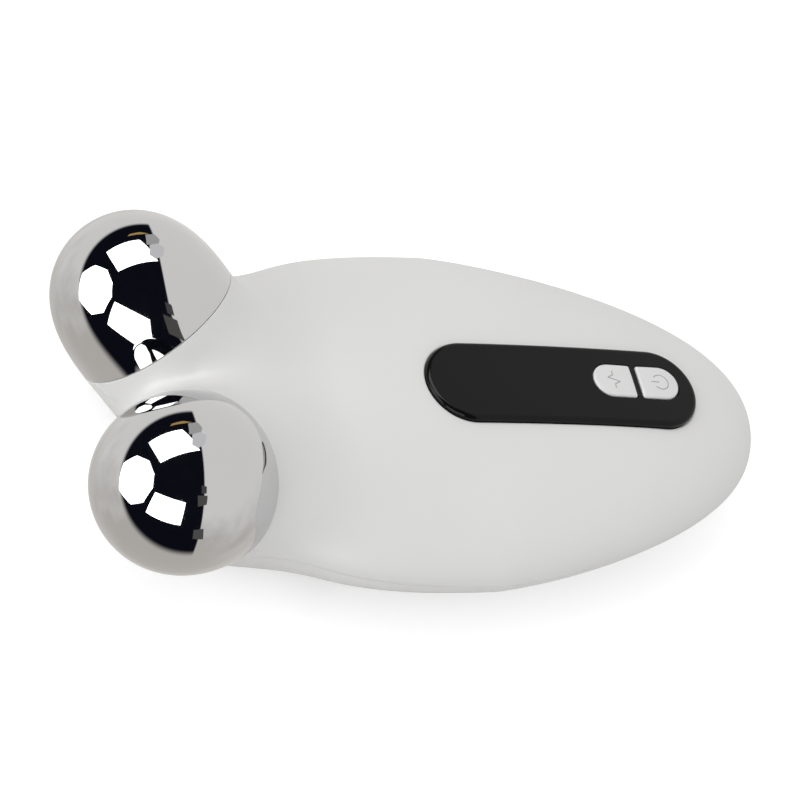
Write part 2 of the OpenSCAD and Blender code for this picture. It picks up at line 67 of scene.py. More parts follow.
class Side(Enum):
    """The side of the body that a ball is on."""

    LEFT = -1
    RIGHT = 1


class Half(Enum):
    """One of the two mouldings of the housing."""

    UPPER = 1
    LOWER = -1


class Key(Enum):
    """One of the two buttons, by its side of the bar between them."""

    MODE = -1
    POWER = 1


# ---------------------------------------------------------------- small geometry helpers


def unit(vectors: Points) -> Points:
    """Vectors of length one along the last axis."""
    return vectors / np.maximum(np.linalg.norm(vectors, axis=-1, keepdims=True), TINY)


def between(start: float, end: float, count: int) -> Points:
    """Evenly spaced numbers between two ends, without the ends."""
    return np.linspace(start, end, count + 2)[1:-1]


def blend(a: Points, b: Points, width: float) -> Points:
    """Smooth smaller of two distances: the minimum less a quarter of the width times the squared overlap."""
    overlap = np.maximum(width - np.abs(a - b), 0) / width
    return np.minimum(a, b) - overlap**2 * width / 4


def halved(low: Points, high: Points, is_inside: Callable[[Points], Points], rounds: int) -> Points:
    """Where lines leave a region, by halving the stretch between a place inside it and one outside.

    Args:
        low: A place inside on each line.
        high: A place outside on each line.
        is_inside: Says which places are inside.
        rounds: How often the stretch is halved.

    Returns:
        The last place inside on each line.
    """
    for _ in range(rounds):
        mid = (low + high) / 2
        inside = is_inside(mid)
        low, high = np.where(inside, mid, low), np.where(inside, high, mid)
    return low


def grid_quads(rows: int, columns: int, wrap: bool = True, start: int = 0) -> Points:
    """Corner numbers of the quads of a grid of points kept row by row.

    Args:
        rows: Number of rows of points.
        columns: Number of points in a row.
        wrap: Whether a row closes on itself.
        start: Number of the first point.

    Returns:
        One row of four corner numbers for each quad.
    """
    i = np.arange(rows - 1)[:, None] * columns
    j = np.arange(columns if wrap else columns - 1)[None, :]
    k = (j + 1) % columns
    quads = np.stack([i + j, i + columns + j, i + columns + k, i + k], axis=-1)
    return quads.reshape(-1, 4) + start


def fan(pole: int, ring: Sequence[int], flip: bool = False) -> Faces:
    """Triangles from a pole to a closed ring of points."""
    pairs = zip(ring, list(ring[1:]) + [ring[0]])
    return [(pole, b, a) if flip else (pole, a, b) for a, b in pairs]


def mesh_object(name: str, points: Points, faces: Sequence[Sequence[int]]) -> bpy.types.Object:
    """A linked object whose mesh holds the given points and faces.

    Args:
        name: Name of the object and of its mesh.
        points: Points, one to a row.
        faces: Corner numbers of each face.

    Returns:
        The object, at the origin.
    """
    mesh = bpy.data.meshes.new(name)
    mesh.from_pydata(np.asarray(points, float).tolist(), [], [list(map(int, f)) for f in faces])
    mesh.update()
    made = bpy.data.objects.new(name, mesh)
    bpy.context.scene.collection.objects.link(made)
    return made


def point_array(mesh: bpy.types.Mesh) -> Points:
    """Reads the points of a mesh.

    Args:
        mesh: The mesh.

    Returns:
        The points, one to a row.
    """
    flat = np.empty(len(mesh.vertices) * 3)
    mesh.vertices.foreach_get("co", flat)
    return flat.reshape(-1, 3)


@contextmanager
def editing(mesh: bpy.types.Mesh) -> Iterator[bmesh.types.BMesh]:
    """Opens a mesh for editing, and writes it back at the end.

    Args:
        mesh: The mesh.

    Yields:
        The mesh in the form that can be edited.
    """
    bm = bmesh.new()
    bm.from_mesh(mesh)
    yield bm
    bm.to_mesh(mesh)
    bm.free()


def face_outwards(bm: bmesh.types.BMesh) -> None:
    """Turns every face of a closed mesh outwards."""
    bmesh.ops.recalc_face_normals(bm, faces=bm.faces[:])


def carve(target: bpy.types.Object, tool: bpy.types.Object) -> None:
    """Cuts a closed tool out of an object, and removes the tool.

    Args:
        target: The object that is changed.
        tool: The closed solid that is cut away.
    """
    step = target.modifiers.new("carve", "BOOLEAN")
    step.operation, step.solver, step.object = "DIFFERENCE", "MANIFOLD", tool
    bpy.context.view_layer.update()
    made = bpy.data.meshes.new_from_object(target.evaluated_get(bpy.context.evaluated_depsgraph_get()))
    old, name = target.data, target.data.name
    target.modifiers.clear()
    target.data = made
    bpy.data.meshes.remove(old)
    made.name = name
    used = tool.data
    bpy.data.objects.remove(tool)
    bpy.data.meshes.remove(used)


def rounded_line(length: float, width: float, round_points: int = 28, straight_points: int = 38) -> Points:
    """Outline of a stadium: two half circles joined by straight sides, anticlockwise.

    Args:
        length: Overall length.
        width: Overall width.
        round_points: Points on each half circle.
        straight_points: Points on each straight side.

    Returns:
        The outline's points in the plane.
    """
    turn = np.linspace(-QUARTER, QUARTER, round_points)
    r, straight = width / 2, (length - width) / 2
    side = between(-straight, straight, straight_points)
    head = np.stack([straight + r * np.cos(turn), r * np.sin(turn)], 1)
    top = np.stack([-side, np.full(side.size, r)], 1)
    return np.concatenate([head, top, -head, -top])


def outward(outline: Points) -> Points:
    """Outward directions along a closed anticlockwise outline, square to its chord at each point."""
    chord = np.roll(outline, -1, 0) - np.roll(outline, 1, 0)
    return unit(np.stack([chord[:, 1], -chord[:, 0]], 1))


def loft(name: str, rings: Sequence[Points]) -> bpy.types.Object:
    """Closed solid through rings of equal count, with a flat cap at each end.

    Args:
        name: Name of the object.
        rings: The rings' points, from the lowest ring to the highest.

    Returns:
        The solid's object.
    """
    count = len(rings[0])
    faces = [tuple(q) for q in grid_quads(len(rings), count)[:, ::-1]]
    last = (len(rings) - 1) * count
    faces.append(tuple(range(count - 1, -1, -1)))
    faces.append(tuple(range(last, last + count)))
    return mesh_object(name, np.concatenate(rings), faces)


def bar(
    name: str, start: Points, way: Points, length: float, radius: float, sides: int = 64
) -> bpy.types.Object:
    """Round closed bar from a point along a direction: circles of one radius round both ends.

    Args:
        name: Name of the object.
        start: Centre of the first end.
        way: Direction.
        length: Length along the direction.
        radius: Radius of the bar.
        sides: Points round it.

    Returns:
        The bar's object.
    """
    askew = [0.3, 1.0, 0.2]
    way = unit(np.asarray(way, float))
    u = unit(np.cross(way, askew))
    v = np.cross(way, u)
    turn = np.linspace(0, math.tau, sides, endpoint=False)[:, None]
    ring = np.asarray(start, float) + radius * (np.cos(turn) * u + np.sin(turn) * v)
    return loft(name, [ring, ring + length * way])


def set_normals(
    target: bpy.types.Object, rule: NormalRule, sharp: float = math.radians(32), agree: float = 0.8
) -> None:
    """Gives an object's corners exact normals where a rule knows them, and leaves the rest as they are.

    Args:
        target: The object.
        rule: Takes the points and returns their exact normals, and which of them lie on the known surface.
        sharp: Angle from which an edge is sharp.
        agree: Least cosine between a face's own normal and the mean of the exact ones.
    """
    mesh = target.data
    mesh.shade_smooth()
    mesh.set_sharp_from_angle(angle=sharp)
    known, on = rule(point_array(mesh))
    corners, faces = len(mesh.loops), len(mesh.polygons)
    vertex, normals = np.empty(corners, int), np.empty(corners * 3)
    mesh.loops.foreach_get("vertex_index", vertex)
    mesh.corner_normals.foreach_get("vector", normals)
    normals = normals.reshape(-1, 3)
    start, total, flat = np.empty(faces, int), np.empty(faces, int), np.empty(faces * 3)
    mesh.polygons.foreach_get("loop_start", start)
    mesh.polygons.foreach_get("loop_total", total)
    mesh.polygons.foreach_get("normal", flat)
    face = np.repeat(np.arange(faces), total)
    mean = unit(np.add.reduceat(known[vertex], start))
    good = np.logical_and.reduceat(on[vertex], start) & ((mean * flat.reshape(-1, 3)).sum(1) > agree)
    normals[good[face]] = known[vertex][good[face]]
    mesh.normals_split_custom_set(normals.tolist())


# ---------------------------------------------------------------- the body's form


@dataclass(frozen=True)
class BodyForm:
    """The moulded form: an egg with two arms melted into it, cut flat where it rests. Sizes in millimetres.

    The exponents p and q of a rounded profile stand in a pair, one for the head's side and one for the
    tail's.
    """

    body_w: float = 79.2
    body_len: float = 128.2
    back_h: float = 13.0
    belly_h: float = 17.6
    rest_h: float = 16.0
    wall: float = 2.2
    ball_d: float = 35.0
    ball_len: float = 23.9
    ball_spread: float = 18.3
    ball_rise: float = 5.8
    splay: float = math.radians(30.8)
    pitch: float = math.radians(40.3)
    front_x: float = 1.5
    widest_x: float = 61.5
    tallest_x: float = 38.0
    deepest_x: float = 29.8
    width_head: Pair = (2.74, 2.28)
    width_tail: Pair = (1.32, 2.33)
    back_head: Pair = (2.2, 2.2)
    back_tail: Pair = (2.8, 3.0)
    belly_head: Pair = (3.0, 2.6)
    belly_tail: Pair = (1.55, 1.6)
    section_n: float = 2.05
    arm_len: float = 11.0
    arm_back_d: float = 34.4
    arm_over: float = 6.0
    web_blend: float = 6.0
    arm_blend: float = 12.0
    rest_blend: float = 3.0
    core: Triple = (10.0, 0.0, 3.0)
    core_share: float = 0.25
    dome_p: float = 2.6
    dome_q: float = 2.0
    thinnest: float = 1e-3
    centre: float = 1e-6
    reach: float = 90.0
    stride: float = 1.0
    halvings: int = 36
    dome_samples: int = 61

    def half(self, x: Points, mid: float, size: float, head: Pair, tail: Pair) -> Points:
        """Half of a rounded profile: size times (1 - u^p)^(1/q), with u from 0 at the middle to 1 at an end.

        Args:
            x: Places along the body.
            mid: Place of the greatest size.
            size: The greatest size.
            head: Exponents p and q in front of the middle.
            tail: Exponents p and q behind it.

        Returns:
            The profile's size at each place, and zero beyond the ends.
        """
        behind = np.clip((x - mid) / (self.body_len - mid), 0, 1)
        before = np.clip((mid - x) / (mid - self.front_x), 0, 1)
        return size * np.where(
            x > mid, (1 - behind ** tail[0]) ** (1 / tail[1]), (1 - before ** head[0]) ** (1 / head[1])
        )

    def egg(self, p: Points) -> Points:
        """Distance to the egg, scaled along the radius: r less r over the section's superellipse value.

        Args:
            p: Points.

        Returns:
            The scaled distance of each point, below zero inside.
        """
        x, y, z = p[..., 0], p[..., 1], p[..., 2]
        width = self.half(x, self.widest_x, self.body_w / 2, self.width_head, self.width_tail)
        back = self.half(x, self.tallest_x, self.back_h, self.back_head, self.back_tail)
        belly = self.half(x, self.deepest_x, self.belly_h, self.belly_head, self.belly_tail)
        width = np.maximum(width, self.thinnest)
        height = np.maximum(np.where(z >= 0, back, belly), self.thinnest)
        r = np.hypot(y, z)
        n = self.section_n
        q = ((np.abs(y) / width) ** n + (np.abs(z) / height) ** n) ** (1 / n)
        inside = np.where(q > self.centre, r - r / np.maximum(q, self.centre), -np.minimum(width, height))
        return np.where(x <= self.front_x, np.hypot(r, self.front_x - x), inside)

    def axis(self, side: Side) -> Points:
        """Direction of a ball's axis: the head's direction, turned aside by the splay and up by the pitch."""
        along, across = math.cos(self.splay), side.value * math.sin(self.splay)
        return np.array([-along * math.cos(self.pitch), across, along * math.sin(self.pitch)])

    def seam(self, side: Side) -> Points:
        """Centre of the seam between a ball and its arm."""
        return np.array([0.0, side.value * self.ball_spread, self.ball_rise])

    def beyond_seam(self, p: Points, side: Side) -> Points:
        """Distance beyond a ball's seam plane."""
        return (p - self.seam(side)) @ self.axis(side)

    def arm(self, p: Points, side: Side) -> Points:
        """Distance to an arm: a tapering round bar with a round inner end, along the ball's axis.

        Args:
            p: Points.
            side: The arm's side.

        Returns:
            The distance of each point, below zero inside.
        """
        along = self.beyond_seam(p, side)
        back = np.maximum(along, -self.arm_len)
        r = (self.ball_d + (self.ball_d - self.arm_back_d) * np.minimum(back, 0) / self.arm_len) / 2
        off = np.linalg.norm(p - self.seam(side) - back[..., None] * self.axis(side), axis=-1)
        return np.maximum(off - r, along - self.arm_over)

    def value(self, p: Points) -> Points:
        """The whole form as a distance that is below zero inside."""
        arms = blend(self.arm(p, Side.LEFT), self.arm(p, Side.RIGHT), self.web_blend)
        return -blend(-blend(arms, self.egg(p), self.arm_blend), p[..., 2] + self.rest_h, self.rest_blend)

    def gradient(self, p: Points) -> Points:
        """Slope of the form's value by central differences."""
        shifts = np.eye(3) * STEP
        return np.stack([self.value(p + s) - self.value(p - s) for s in shifts], -1) / (2 * STEP)

    def first_crossing(self, origin: Points, way: Points, level: float) -> Points:
        """First points along rays at which the form passes a level, by stepping out and then halving.

        Args:
            origin: Start of each ray.
            way: Direction of each ray.
            level: The value to find.

        Returns:
            One point for each ray.
        """

        def inside(r: Points) -> Points:
            """Which places along the rays lie within the level."""
            return self.value(origin + r[..., None] * way) <= level

        low = np.zeros(origin.shape[:-1])
        alive = np.ones(low.shape, bool)
        for r in np.arange(self.stride, self.reach, self.stride):
            alive &= inside(np.full(low.shape, r))
            low = np.where(alive, r, low)
            if not alive.any():
                break
        low = halved(low, low + self.stride, inside, self.halvings)
        return origin + low[..., None] * way

    def skin(self, level: float, nose: int, rings: int, around: int, end: float) -> tuple[Points, Faces]:
        """Closed skin at a level: rays fan out round the nose and then stand square to the length.

        Args:
            level: The form's value on the skin.
            nose: Rings of points on the nose.
            rings: Rings in all.
            around: Points in a ring.
            end: Place of the tail's point.

        Returns:
            The points and the faces.
        """
        turn = np.linspace(0, math.tau, around, endpoint=False)
        i = np.arange(1, rings)[:, None]
        tilt = QUARTER * np.minimum(i / nose, 1)
        t = np.maximum((i - nose) / (rings - nose), 0)
        core = np.array(self.core)
        x = core[0] + (end - core[0]) * np.sin(QUARTER * t)
        z = core[2] * np.maximum(1 - t / self.core_share, 0) ** 2
        origin = np.stack(np.broadcast_arrays(x, 0.0, z), -1) + 0 * turn[None, :, None]
        ahead, aside = -np.cos(tilt), np.sin(tilt)
        way = np.stack(np.broadcast_arrays(ahead, aside * np.cos(turn), aside * np.sin(turn)), -1)
        body = self.first_crossing(origin, way, level)
        tip = self.first_crossing(core[None], np.array([[-1.0, 0.0, 0.0]]), level)
        points = np.concatenate([tip, body.reshape(-1, 3), [[end, 0.0, 0.0]]])
        count = rings - 1
        tail = 1 + (count - 1) * around
        faces = [tuple(q) for q in grid_quads(count, around, start=1)]
        faces += fan(0, list(range(1, 1 + around)))
        faces += fan(len(points) - 1, list(range(tail, tail + around)), flip=True)
        return points, faces

    def dome(self, s: Points) -> Points:
        """Radius of a ball at a distance from its seam: R times (1 - (s/L)^p)^(1/q)."""
        return self.ball_d / 2 * np.maximum(1 - (s / self.ball_len) ** self.dome_p, 0) ** (1 / self.dome_q)

    @property
    def mid_x(self) -> float:
        """Middle of the whole length, from the balls' front to the tail.

        Returns:
            Its place along the body.
        """
        along = -self.axis(Side.LEFT)[0]
        s = np.linspace(0, self.ball_len, self.dome_samples)
        front = (s * along + self.dome(s) * math.sqrt(1 - along**2)).max()
        return float(self.body_len - front) / 2

    def place(self, target: bpy.types.Object) -> None:
        """Moves an object's mesh from the housing's frame into the shared frame."""
        target.data.transform(Matrix.Scale(MM, 4) @ Matrix.Translation((-self.mid_x, 0, self.rest_h)))


FORM = BodyForm()


# ---------------------------------------------------------------- finishes


class Layout:
    """Short-hand for laying out the nodes of one node tree."""

    MIX_LOW, MIX_HIGH, MIX_RESULT = 6, 7, 2

    def __init__(self, tree: bpy.types.NodeTree) -> None:
        """Starts from an empty tree."""
        self.nodes, self.links = tree.nodes, tree.links
        self.nodes.clear()

    def add(self, kind: str, **values: object) -> bpy.types.Node:
        """Adds a node and sets its properties.

        Args:
            kind: The node's type.
            **values: Its properties by name.

        Returns:
            The node.
        """
        node = self.nodes.new(kind)
        for key, value in values.items():
            setattr(node, key, value)
        return node

    def put(self, node: bpy.types.Node, inputs: dict[str | int, object]) -> None:
        """Links inputs of a node to sockets, or sets them to values.

        Args:
            node: The node.
            inputs: A socket or a value for each input, by the input's name or number.
        """
        for name, value in inputs.items():
            if isinstance(value, Socket):
                self.links.new(value, node.inputs[name])
            else:
                node.inputs[name].default_value = value

    def spread(self, value: Socket, low: float, high: float, start: float = 0.3, end: float = 0.7) -> Socket:
        """A value taken from one range to another.

        Args:
            value: The value.
            low: What start becomes.
            high: What end becomes.
            start: Lower end of the value's range.
            end: Upper end of it.

        Returns:
            The new value's socket.
        """
        node = self.add("ShaderNodeMapRange")
        self.put(node, {"Value": value, "From Min": start, "From Max": end, "To Min": low, "To Max": high})
        return node.outputs[0]

    def step(self, value: Socket, start: Socket | float, end: float) -> Socket:
        """A soft step of a value, from 0 to 1.

        Args:
            value: The value.
            start: Where the step is 0.
            end: Where it is 1.

        Returns:
            The step's socket.
        """
        node = self.add("ShaderNodeMapRange", interpolation_type="SMOOTHSTEP")
        self.put(node, {"Value": value, "From Min": start, "From Max": end})
        return node.outputs[0]

    def tint(self, share: Socket, low: Socket | Colour, high: Colour) -> Socket:
        """A colour between two, by a share from 0 to 1.

        Args:
            share: The share of the second colour.
            low: The first colour.
            high: The second colour.

        Returns:
            The colour's socket.
        """
        first = low if isinstance(low, Socket) else (*low, 1.0)
        node = self.add("ShaderNodeMix", data_type="RGBA")
        self.put(node, {0: share, self.MIX_LOW: first, self.MIX_HIGH: (*high, 1.0)})
        return node.outputs[self.MIX_RESULT]

    def combine(self, kind: str, *values: Socket | float) -> Socket:
        """A sum, product or other function of two or three values.

        Args:
            kind: The function.
            *values: What it takes.

        Returns:
            The result's socket.
        """
        node = self.add("ShaderNodeMath", operation=kind)
        self.put(node, dict(enumerate(values)))
        return node.outputs[0]

    def plus(self, a: Socket, b: Socket, share: float = 1.0) -> Socket:
        """The first value plus a share of the second."""
        return self.combine("MULTIPLY_ADD", b, share, a)


class Tree(Layout):
    """The nodes of one material, round its shader."""

    def __init__(self, name: str) -> None:
        """Starts a material with its shader and output.

        Args:
            name: Name of the material.
        """
        self.material = bpy.data.materials.new(name)
        self.material.use_nodes = True
        super().__init__(self.material.node_tree)
        self.shader = self.add("ShaderNodeBsdfPrincipled")
        output = self.add("ShaderNodeOutputMaterial")
        self.put(output, {"Surface": self.shader.outputs[0]})
        self.place = self.add("ShaderNodeTexCoord").outputs["Object"]

    def stretch(self, scale: Triple) -> Socket:
        """Object coordinates, scaled along each axis.

        Args:
            scale: The scale along each axis.

        Returns:
            The coordinates' socket.
        """
        node = self.add("ShaderNodeMapping")
        self.put(node, {"Vector": self.place, "Scale": scale})
        return node.outputs[0]

    def noise(self, scale: float, detail: float = 3.0, vector: Socket | None = None) -> Socket:
        """Soft noise, from 0 to 1.

        Args:
            scale: Cells per metre.
            detail: How many finer noises are added.
            vector: Coordinates, or the object's own.

        Returns:
            The noise's socket.
        """
        node = self.add("ShaderNodeTexNoise")
        self.put(node, {"Vector": vector or self.place, "Scale": scale, "Detail": detail})
        return node.outputs["Fac"]

    def cells(self, scale: float) -> Socket:
        """Distance to the nearest point of a scatter, for grain.

        Args:
            scale: Points per metre.

        Returns:
            The distance's socket.
        """
        node = self.add("ShaderNodeTexVoronoi")
        self.put(node, {"Vector": self.place, "Scale": scale})
        return node.outputs["Distance"]

    def relief(self, height: Socket, depth: float) -> None:
        """Bump on the shader.

        Args:
            height: The height's socket.
            depth: Depth of the bump, in metres.
        """
        node = self.add("ShaderNodeBump")
        self.put(node, {"Height": height, "Distance": depth, "Strength": 1.0})
        self.put(self.shader, {"Normal": node.outputs[0]})

    def set(self, **values: object) -> None:
        """Sets or links inputs of the shader, named with underscores for spaces."""
        self.put(self.shader, {key.replace("_", " "): value for key, value in values.items()})


@dataclass(frozen=True)
class Finish:
    """A finish with a name, a colour and a gloss; each kind lays out its own nodes."""

    name: str
    colour: Colour
    roughness: float

    def shade(self, share: float) -> Colour:
        """The colour, lighter or darker by a share."""
        return tuple(min(c * share, 1.0) for c in self.colour)

    def colour_field(self, tree: Tree, scale: float, change: float) -> Socket:
        """Slow change of the colour over the surface."""
        drift = tree.spread(tree.noise(scale), 0, 1)
        return tree.tint(drift, self.shade(1 - change), self.shade(1 + change / 2))

    def dress(self, tree: Tree) -> None:
        """Lays out the nodes that give the finish its detail."""
        raise NotImplementedError

    def material(self) -> bpy.types.Material:
        """The finish as a material, made once.

        Returns:
            The material.
        """
        found = bpy.data.materials.get(self.name)
        if found:
            return found
        tree = Tree(self.name)
        self.dress(tree)
        tree.material.diffuse_color = (*self.colour, 1.0)
        return tree.material


@dataclass(frozen=True)
class Moulded(Finish):
    """Injection-moulded plastic: a fine spark texture, flow marks in the gloss and a faint colour drift."""

    grain: float = 2600.0
    depth: float = 6e-6
    drift: float = 0.02
    specular: float = 0.4

    def dress(self, tree: Tree) -> None:
        """Grain from a scatter and a noise, gloss from a slow noise stretched along the flow.

        Args:
            tree: The material's nodes.
        """
        flow = tree.noise(28.0, detail=4.0, vector=tree.stretch((0.5, 1.6, 1.6)))
        grain = tree.plus(tree.cells(self.grain), tree.noise(self.grain / 3, detail=2.0), share=0.6)
        tree.set(
            Base_Color=self.colour_field(tree, scale=24.0, change=self.drift),
            Roughness=tree.spread(flow, self.roughness - 0.05, self.roughness + 0.06),
            Specular_IOR_Level=self.specular,
        )
        tree.relief(grain, self.depth)


@dataclass(frozen=True)
class Gloss(Finish):
    """Polished plastic: hazy patches, hairline scratches and a very slight waviness."""

    specular: float = 0.5
    depth: float = 4e-6

    def dress(self, tree: Tree) -> None:
        """Haze from a slow noise, hairlines from a noise drawn out across the piece.

        Args:
            tree: The material's nodes.
        """
        hair = tree.noise(900.0, detail=2.0, vector=tree.stretch((0.03, 1.0, 1.0)))
        haze = tree.plus(tree.noise(60.0, detail=4.0), tree.spread(hair, 0.0, 0.4, start=0.62, end=0.72))
        gloss = tree.spread(haze, self.roughness * 0.6, self.roughness * 1.8, start=0.35, end=0.9)
        tree.set(
            Base_Color=self.colour_field(tree, scale=40.0, change=0.06),
            Roughness=gloss,
            Specular_IOR_Level=self.specular,
        )
        tree.relief(tree.plus(tree.noise(180.0, detail=1.0), hair, share=0.05), self.depth)


@dataclass(frozen=True)
class Chrome(Finish):
    """Plated metal: a mirror with faint polishing lines and a breath of haze."""

    depth: float = 1.5e-6

    def dress(self, tree: Tree) -> None:
        """Haze and polishing lines in the gloss, and an almost flat waviness.

        Args:
            tree: The material's nodes.
        """
        lines = tree.noise(1500.0, detail=3.0, vector=tree.stretch((1.0, 0.06, 0.3)))
        haze = tree.spread(tree.noise(70.0, detail=5.0), 0.0, 1.0, start=0.35, end=0.75)
        marks = tree.plus(haze, tree.spread(lines, 0.0, 0.5, start=0.55, end=0.75))
        tree.set(
            Base_Color=self.colour_field(tree, scale=30.0, change=0.015),
            Metallic=1.0,
            Roughness=tree.spread(marks, self.roughness * 0.4, self.roughness * 1.8, start=0.0, end=1.5),
        )
        tree.relief(tree.noise(90.0, detail=1.0), self.depth)


@dataclass(frozen=True)
class Turned(Finish):
    """Bare metal from a lathe or a roller: fine lines in its gloss and its relief."""

    lines: Triple = (1.0, 1.0, 0.05)
    depth: float = 4e-6

    def dress(self, tree: Tree) -> None:
        """Lines from a noise drawn out along one axis, with darker patches of age.

        Args:
            tree: The material's nodes.
        """
        cut = tree.noise(2600.0, detail=3.0, vector=tree.stretch(self.lines))
        wear = tree.plus(cut, tree.noise(120.0), share=0.5)
        tree.set(
            Base_Color=self.colour_field(tree, scale=160.0, change=0.12),
            Metallic=1.0,
            Roughness=tree.spread(wear, self.roughness - 0.08, self.roughness + 0.14, start=0.4, end=1.1),
        )
        tree.relief(cut, self.depth)


@dataclass(frozen=True)
class Rubber(Finish):
    """Soft matt rubber or foam: an open grain and a dusty gloss."""

    grain: float = 1800.0
    depth: float = 2e-5
    specular: float = 0.3

    def dress(self, tree: Tree) -> None:
        """Open grain from a scatter, dust from a slow noise.

        Args:
            tree: The material's nodes.
        """
        tree.set(
            Base_Color=self.colour_field(tree, scale=90.0, change=0.2),
            Roughness=tree.spread(tree.noise(140.0), self.roughness - 0.08, min(self.roughness + 0.08, 1.0)),
            Specular_IOR_Level=self.specular,
        )
        tree.relief(tree.plus(tree.cells(self.grain), tree.noise(self.grain), share=0.5), self.depth)


@dataclass(frozen=True)
class BoardMask(Finish):
    """Circuit board: solder mask over a maze of copper tracks."""

    copper: Colour = (0.03, 0.22, 0.08)
    depth: float = 2.5e-5

    def dress(self, tree: Tree) -> None:
        """Tracks are the joints of an uneven brickwork; they lighten the mask and stand a little proud.

        Args:
            tree: The material's nodes.
        """
        maze = tree.add("ShaderNodeTexBrick", offset=0.35, squash=0.6, squash_frequency=3)
        tree.put(maze, {"Vector": tree.place, "Scale": 170.0, "Mortar Size": 0.09})
        track = tree.spread(maze.outputs["Fac"], 0.0, 1.0, start=0.0, end=1.0)
        tree.set(
            Base_Color=tree.tint(track, self.colour, self.copper),
            Roughness=tree.spread(tree.noise(400.0), self.roughness - 0.06, self.roughness + 0.08),
        )
        tree.relief(track, self.depth)


@dataclass(frozen=True)
class Foil(Finish):
    """Battery foil: soft creases under a satin film."""

    depth: float = 1.2e-4

    def dress(self, tree: Tree) -> None:
        """Creases from a detailed noise, and gloss that follows them.

        Args:
            tree: The material's nodes.
        """
        crease = tree.noise(160.0, detail=6.0)
        tree.set(
            Base_Color=self.colour_field(tree, scale=60.0, change=0.08),
            Metallic=0.75,
            Roughness=tree.spread(crease, self.roughness - 0.1, self.roughness + 0.12),
        )
        tree.relief(crease, self.depth)


@dataclass(frozen=True)
class Print(Finish):
    """Pad-printed ink: a dry film with an uneven edge of gloss."""

    depth: float = 3e-6

    def dress(self, tree: Tree) -> None:
        """Fine unevenness in the ink's colour, gloss and thickness.

        Args:
            tree: The material's nodes.
        """
        film = tree.noise(3000.0, detail=4.0)
        tree.set(
            Base_Color=self.colour_field(tree, scale=900.0, change=0.1),
            Roughness=tree.spread(film, self.roughness - 0.1, self.roughness + 0.1),
        )
        tree.relief(film, self.depth)


BODY_WHITE = Moulded("satin_white_plastic", (0.67, 0.667, 0.662), 0.42, specular=0.33)
BUTTON_WHITE = Moulded(
    "button_white_plastic", (0.65, 0.65, 0.648), 0.34, depth=3e-6, drift=0.015, specular=0.5
)
PANEL_BLACK = Gloss("gloss_black_acrylic", (0.0045, 0.0045, 0.0047), 0.07, specular=0.165)
BALL_CHROME = Chrome("bright_chrome", (0.63, 0.63, 0.635), 0.035)
SYMBOL_GREY = Print("grey_print", (0.30, 0.305, 0.31), 0.5)
SEAL_RUBBER = Rubber("black_seal_rubber", (0.018, 0.018, 0.019), 0.7)
PAD_FOAM = Rubber("dark_foam", (0.03, 0.03, 0.032), 0.9, grain=900.0, depth=6e-5)
STEEL = Turned("zinc_plated_steel", (0.62, 0.63, 0.64), 0.3)
AXLE_STEEL = Turned("ground_steel", (0.66, 0.66, 0.65), 0.2, lines=(1.0, 0.2, 1.0))
SPRING_STEEL = Turned("spring_steel", (0.28, 0.28, 0.29), 0.35)
BRASS = Turned("oiled_bronze", (0.62, 0.40, 0.19), 0.32)
SOCKET_STEEL = Turned("socket_plated_steel", (0.70, 0.70, 0.69), 0.22, lines=(0.05, 1.0, 1.0))
INNER_BLACK = Moulded("black_nylon", (0.02, 0.02, 0.021), 0.5)
INNER_GREY = Moulded("glass_filled_nylon", (0.13, 0.14, 0.15), 0.55, depth=1.2e-5, drift=0.08)
INNER_WHITE = Moulded("acetal_white", (0.72, 0.72, 0.70), 0.45)
BOARD = BoardMask("green_circuit_board", (0.01, 0.10, 0.035), 0.32)
BATTERY_FOIL = Foil("battery_foil", (0.16, 0.26, 0.42), 0.34)
WIRE_RED = Rubber("red_wire_sleeve", (0.42, 0.02, 0.015), 0.5, depth=4e-6)
WIRE_YELLOW = Rubber("yellow_wire_sleeve", (0.62, 0.42, 0.05), 0.5, depth=4e-6)

CARRIED: dict[str, Finish] = {
    "shell_gasket": SEAL_RUBBER,
    "housing_screws": STEEL,
    "mode_plunger": INNER_BLACK,
    "power_plunger": INNER_BLACK,
    "mode_switch": INNER_GREY,
    "power_switch": INNER_GREY,
    "circuit_board": BOARD,
    "board_screws": STEEL,
    "charge_socket": SOCKET_STEEL,
    "battery": BATTERY_FOIL,
    "battery_pad": PAD_FOAM,
    "battery_leads": WIRE_RED,
    "electrode_leads": WIRE_YELLOW,
    "axle_bracket": INNER_GREY,
    "bracket_screw": STEEL,
    "left_axle": AXLE_STEEL,
    "right_axle": AXLE_STEEL,
    "axle_screws": STEEL,
    "shaft_seals": SEAL_RUBBER,
    "axle_clips": SPRING_STEEL,
    "left_hub": INNER_WHITE,
    "right_hub": INNER_WHITE,
    "left_bushes": BRASS,
    "right_bushes": BRASS,
}


def dress(target: bpy.types.Object, finish: Finish) -> None:
    """Gives every slot of an object one finish.

    Args:
        target: The object.
        finish: The finish.
    """
    if not target.material_slots:
        target.data.materials.append(finish.material())
    for slot in target.material_slots:
        slot.material = finish.material()


def dress_carried() -> None:
    """Gives the construction's own nodes their finishes."""
    for name, finish in CARRIED.items():
        dress(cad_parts[name], finish)
        LOG.info("%s: carried over in %s", name, finish.name)


def add_piece(target: bpy.types.Object, body: str, slot: str, finish: Finish, *nodes: str) -> None:
    """Places and dresses a new piece, and has it ride on its body and stand for its nodes.

    Args:
        target: The piece, in the housing's frame.
        body: Name of the body it moves with.
        slot: Name of the record's material slot; not used.
        finish: The finish it wears.
        *nodes: The construction's nodes that it stands for.
    """
    FORM.place(target)
    dress(target, finish)
    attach(target, body)
    if nodes:
        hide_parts(*nodes)
    mesh = target.data
    LOG.info("%s: %d points, %d faces, on %s", target.name, len(mesh.vertices), len(mesh.polygons), body)


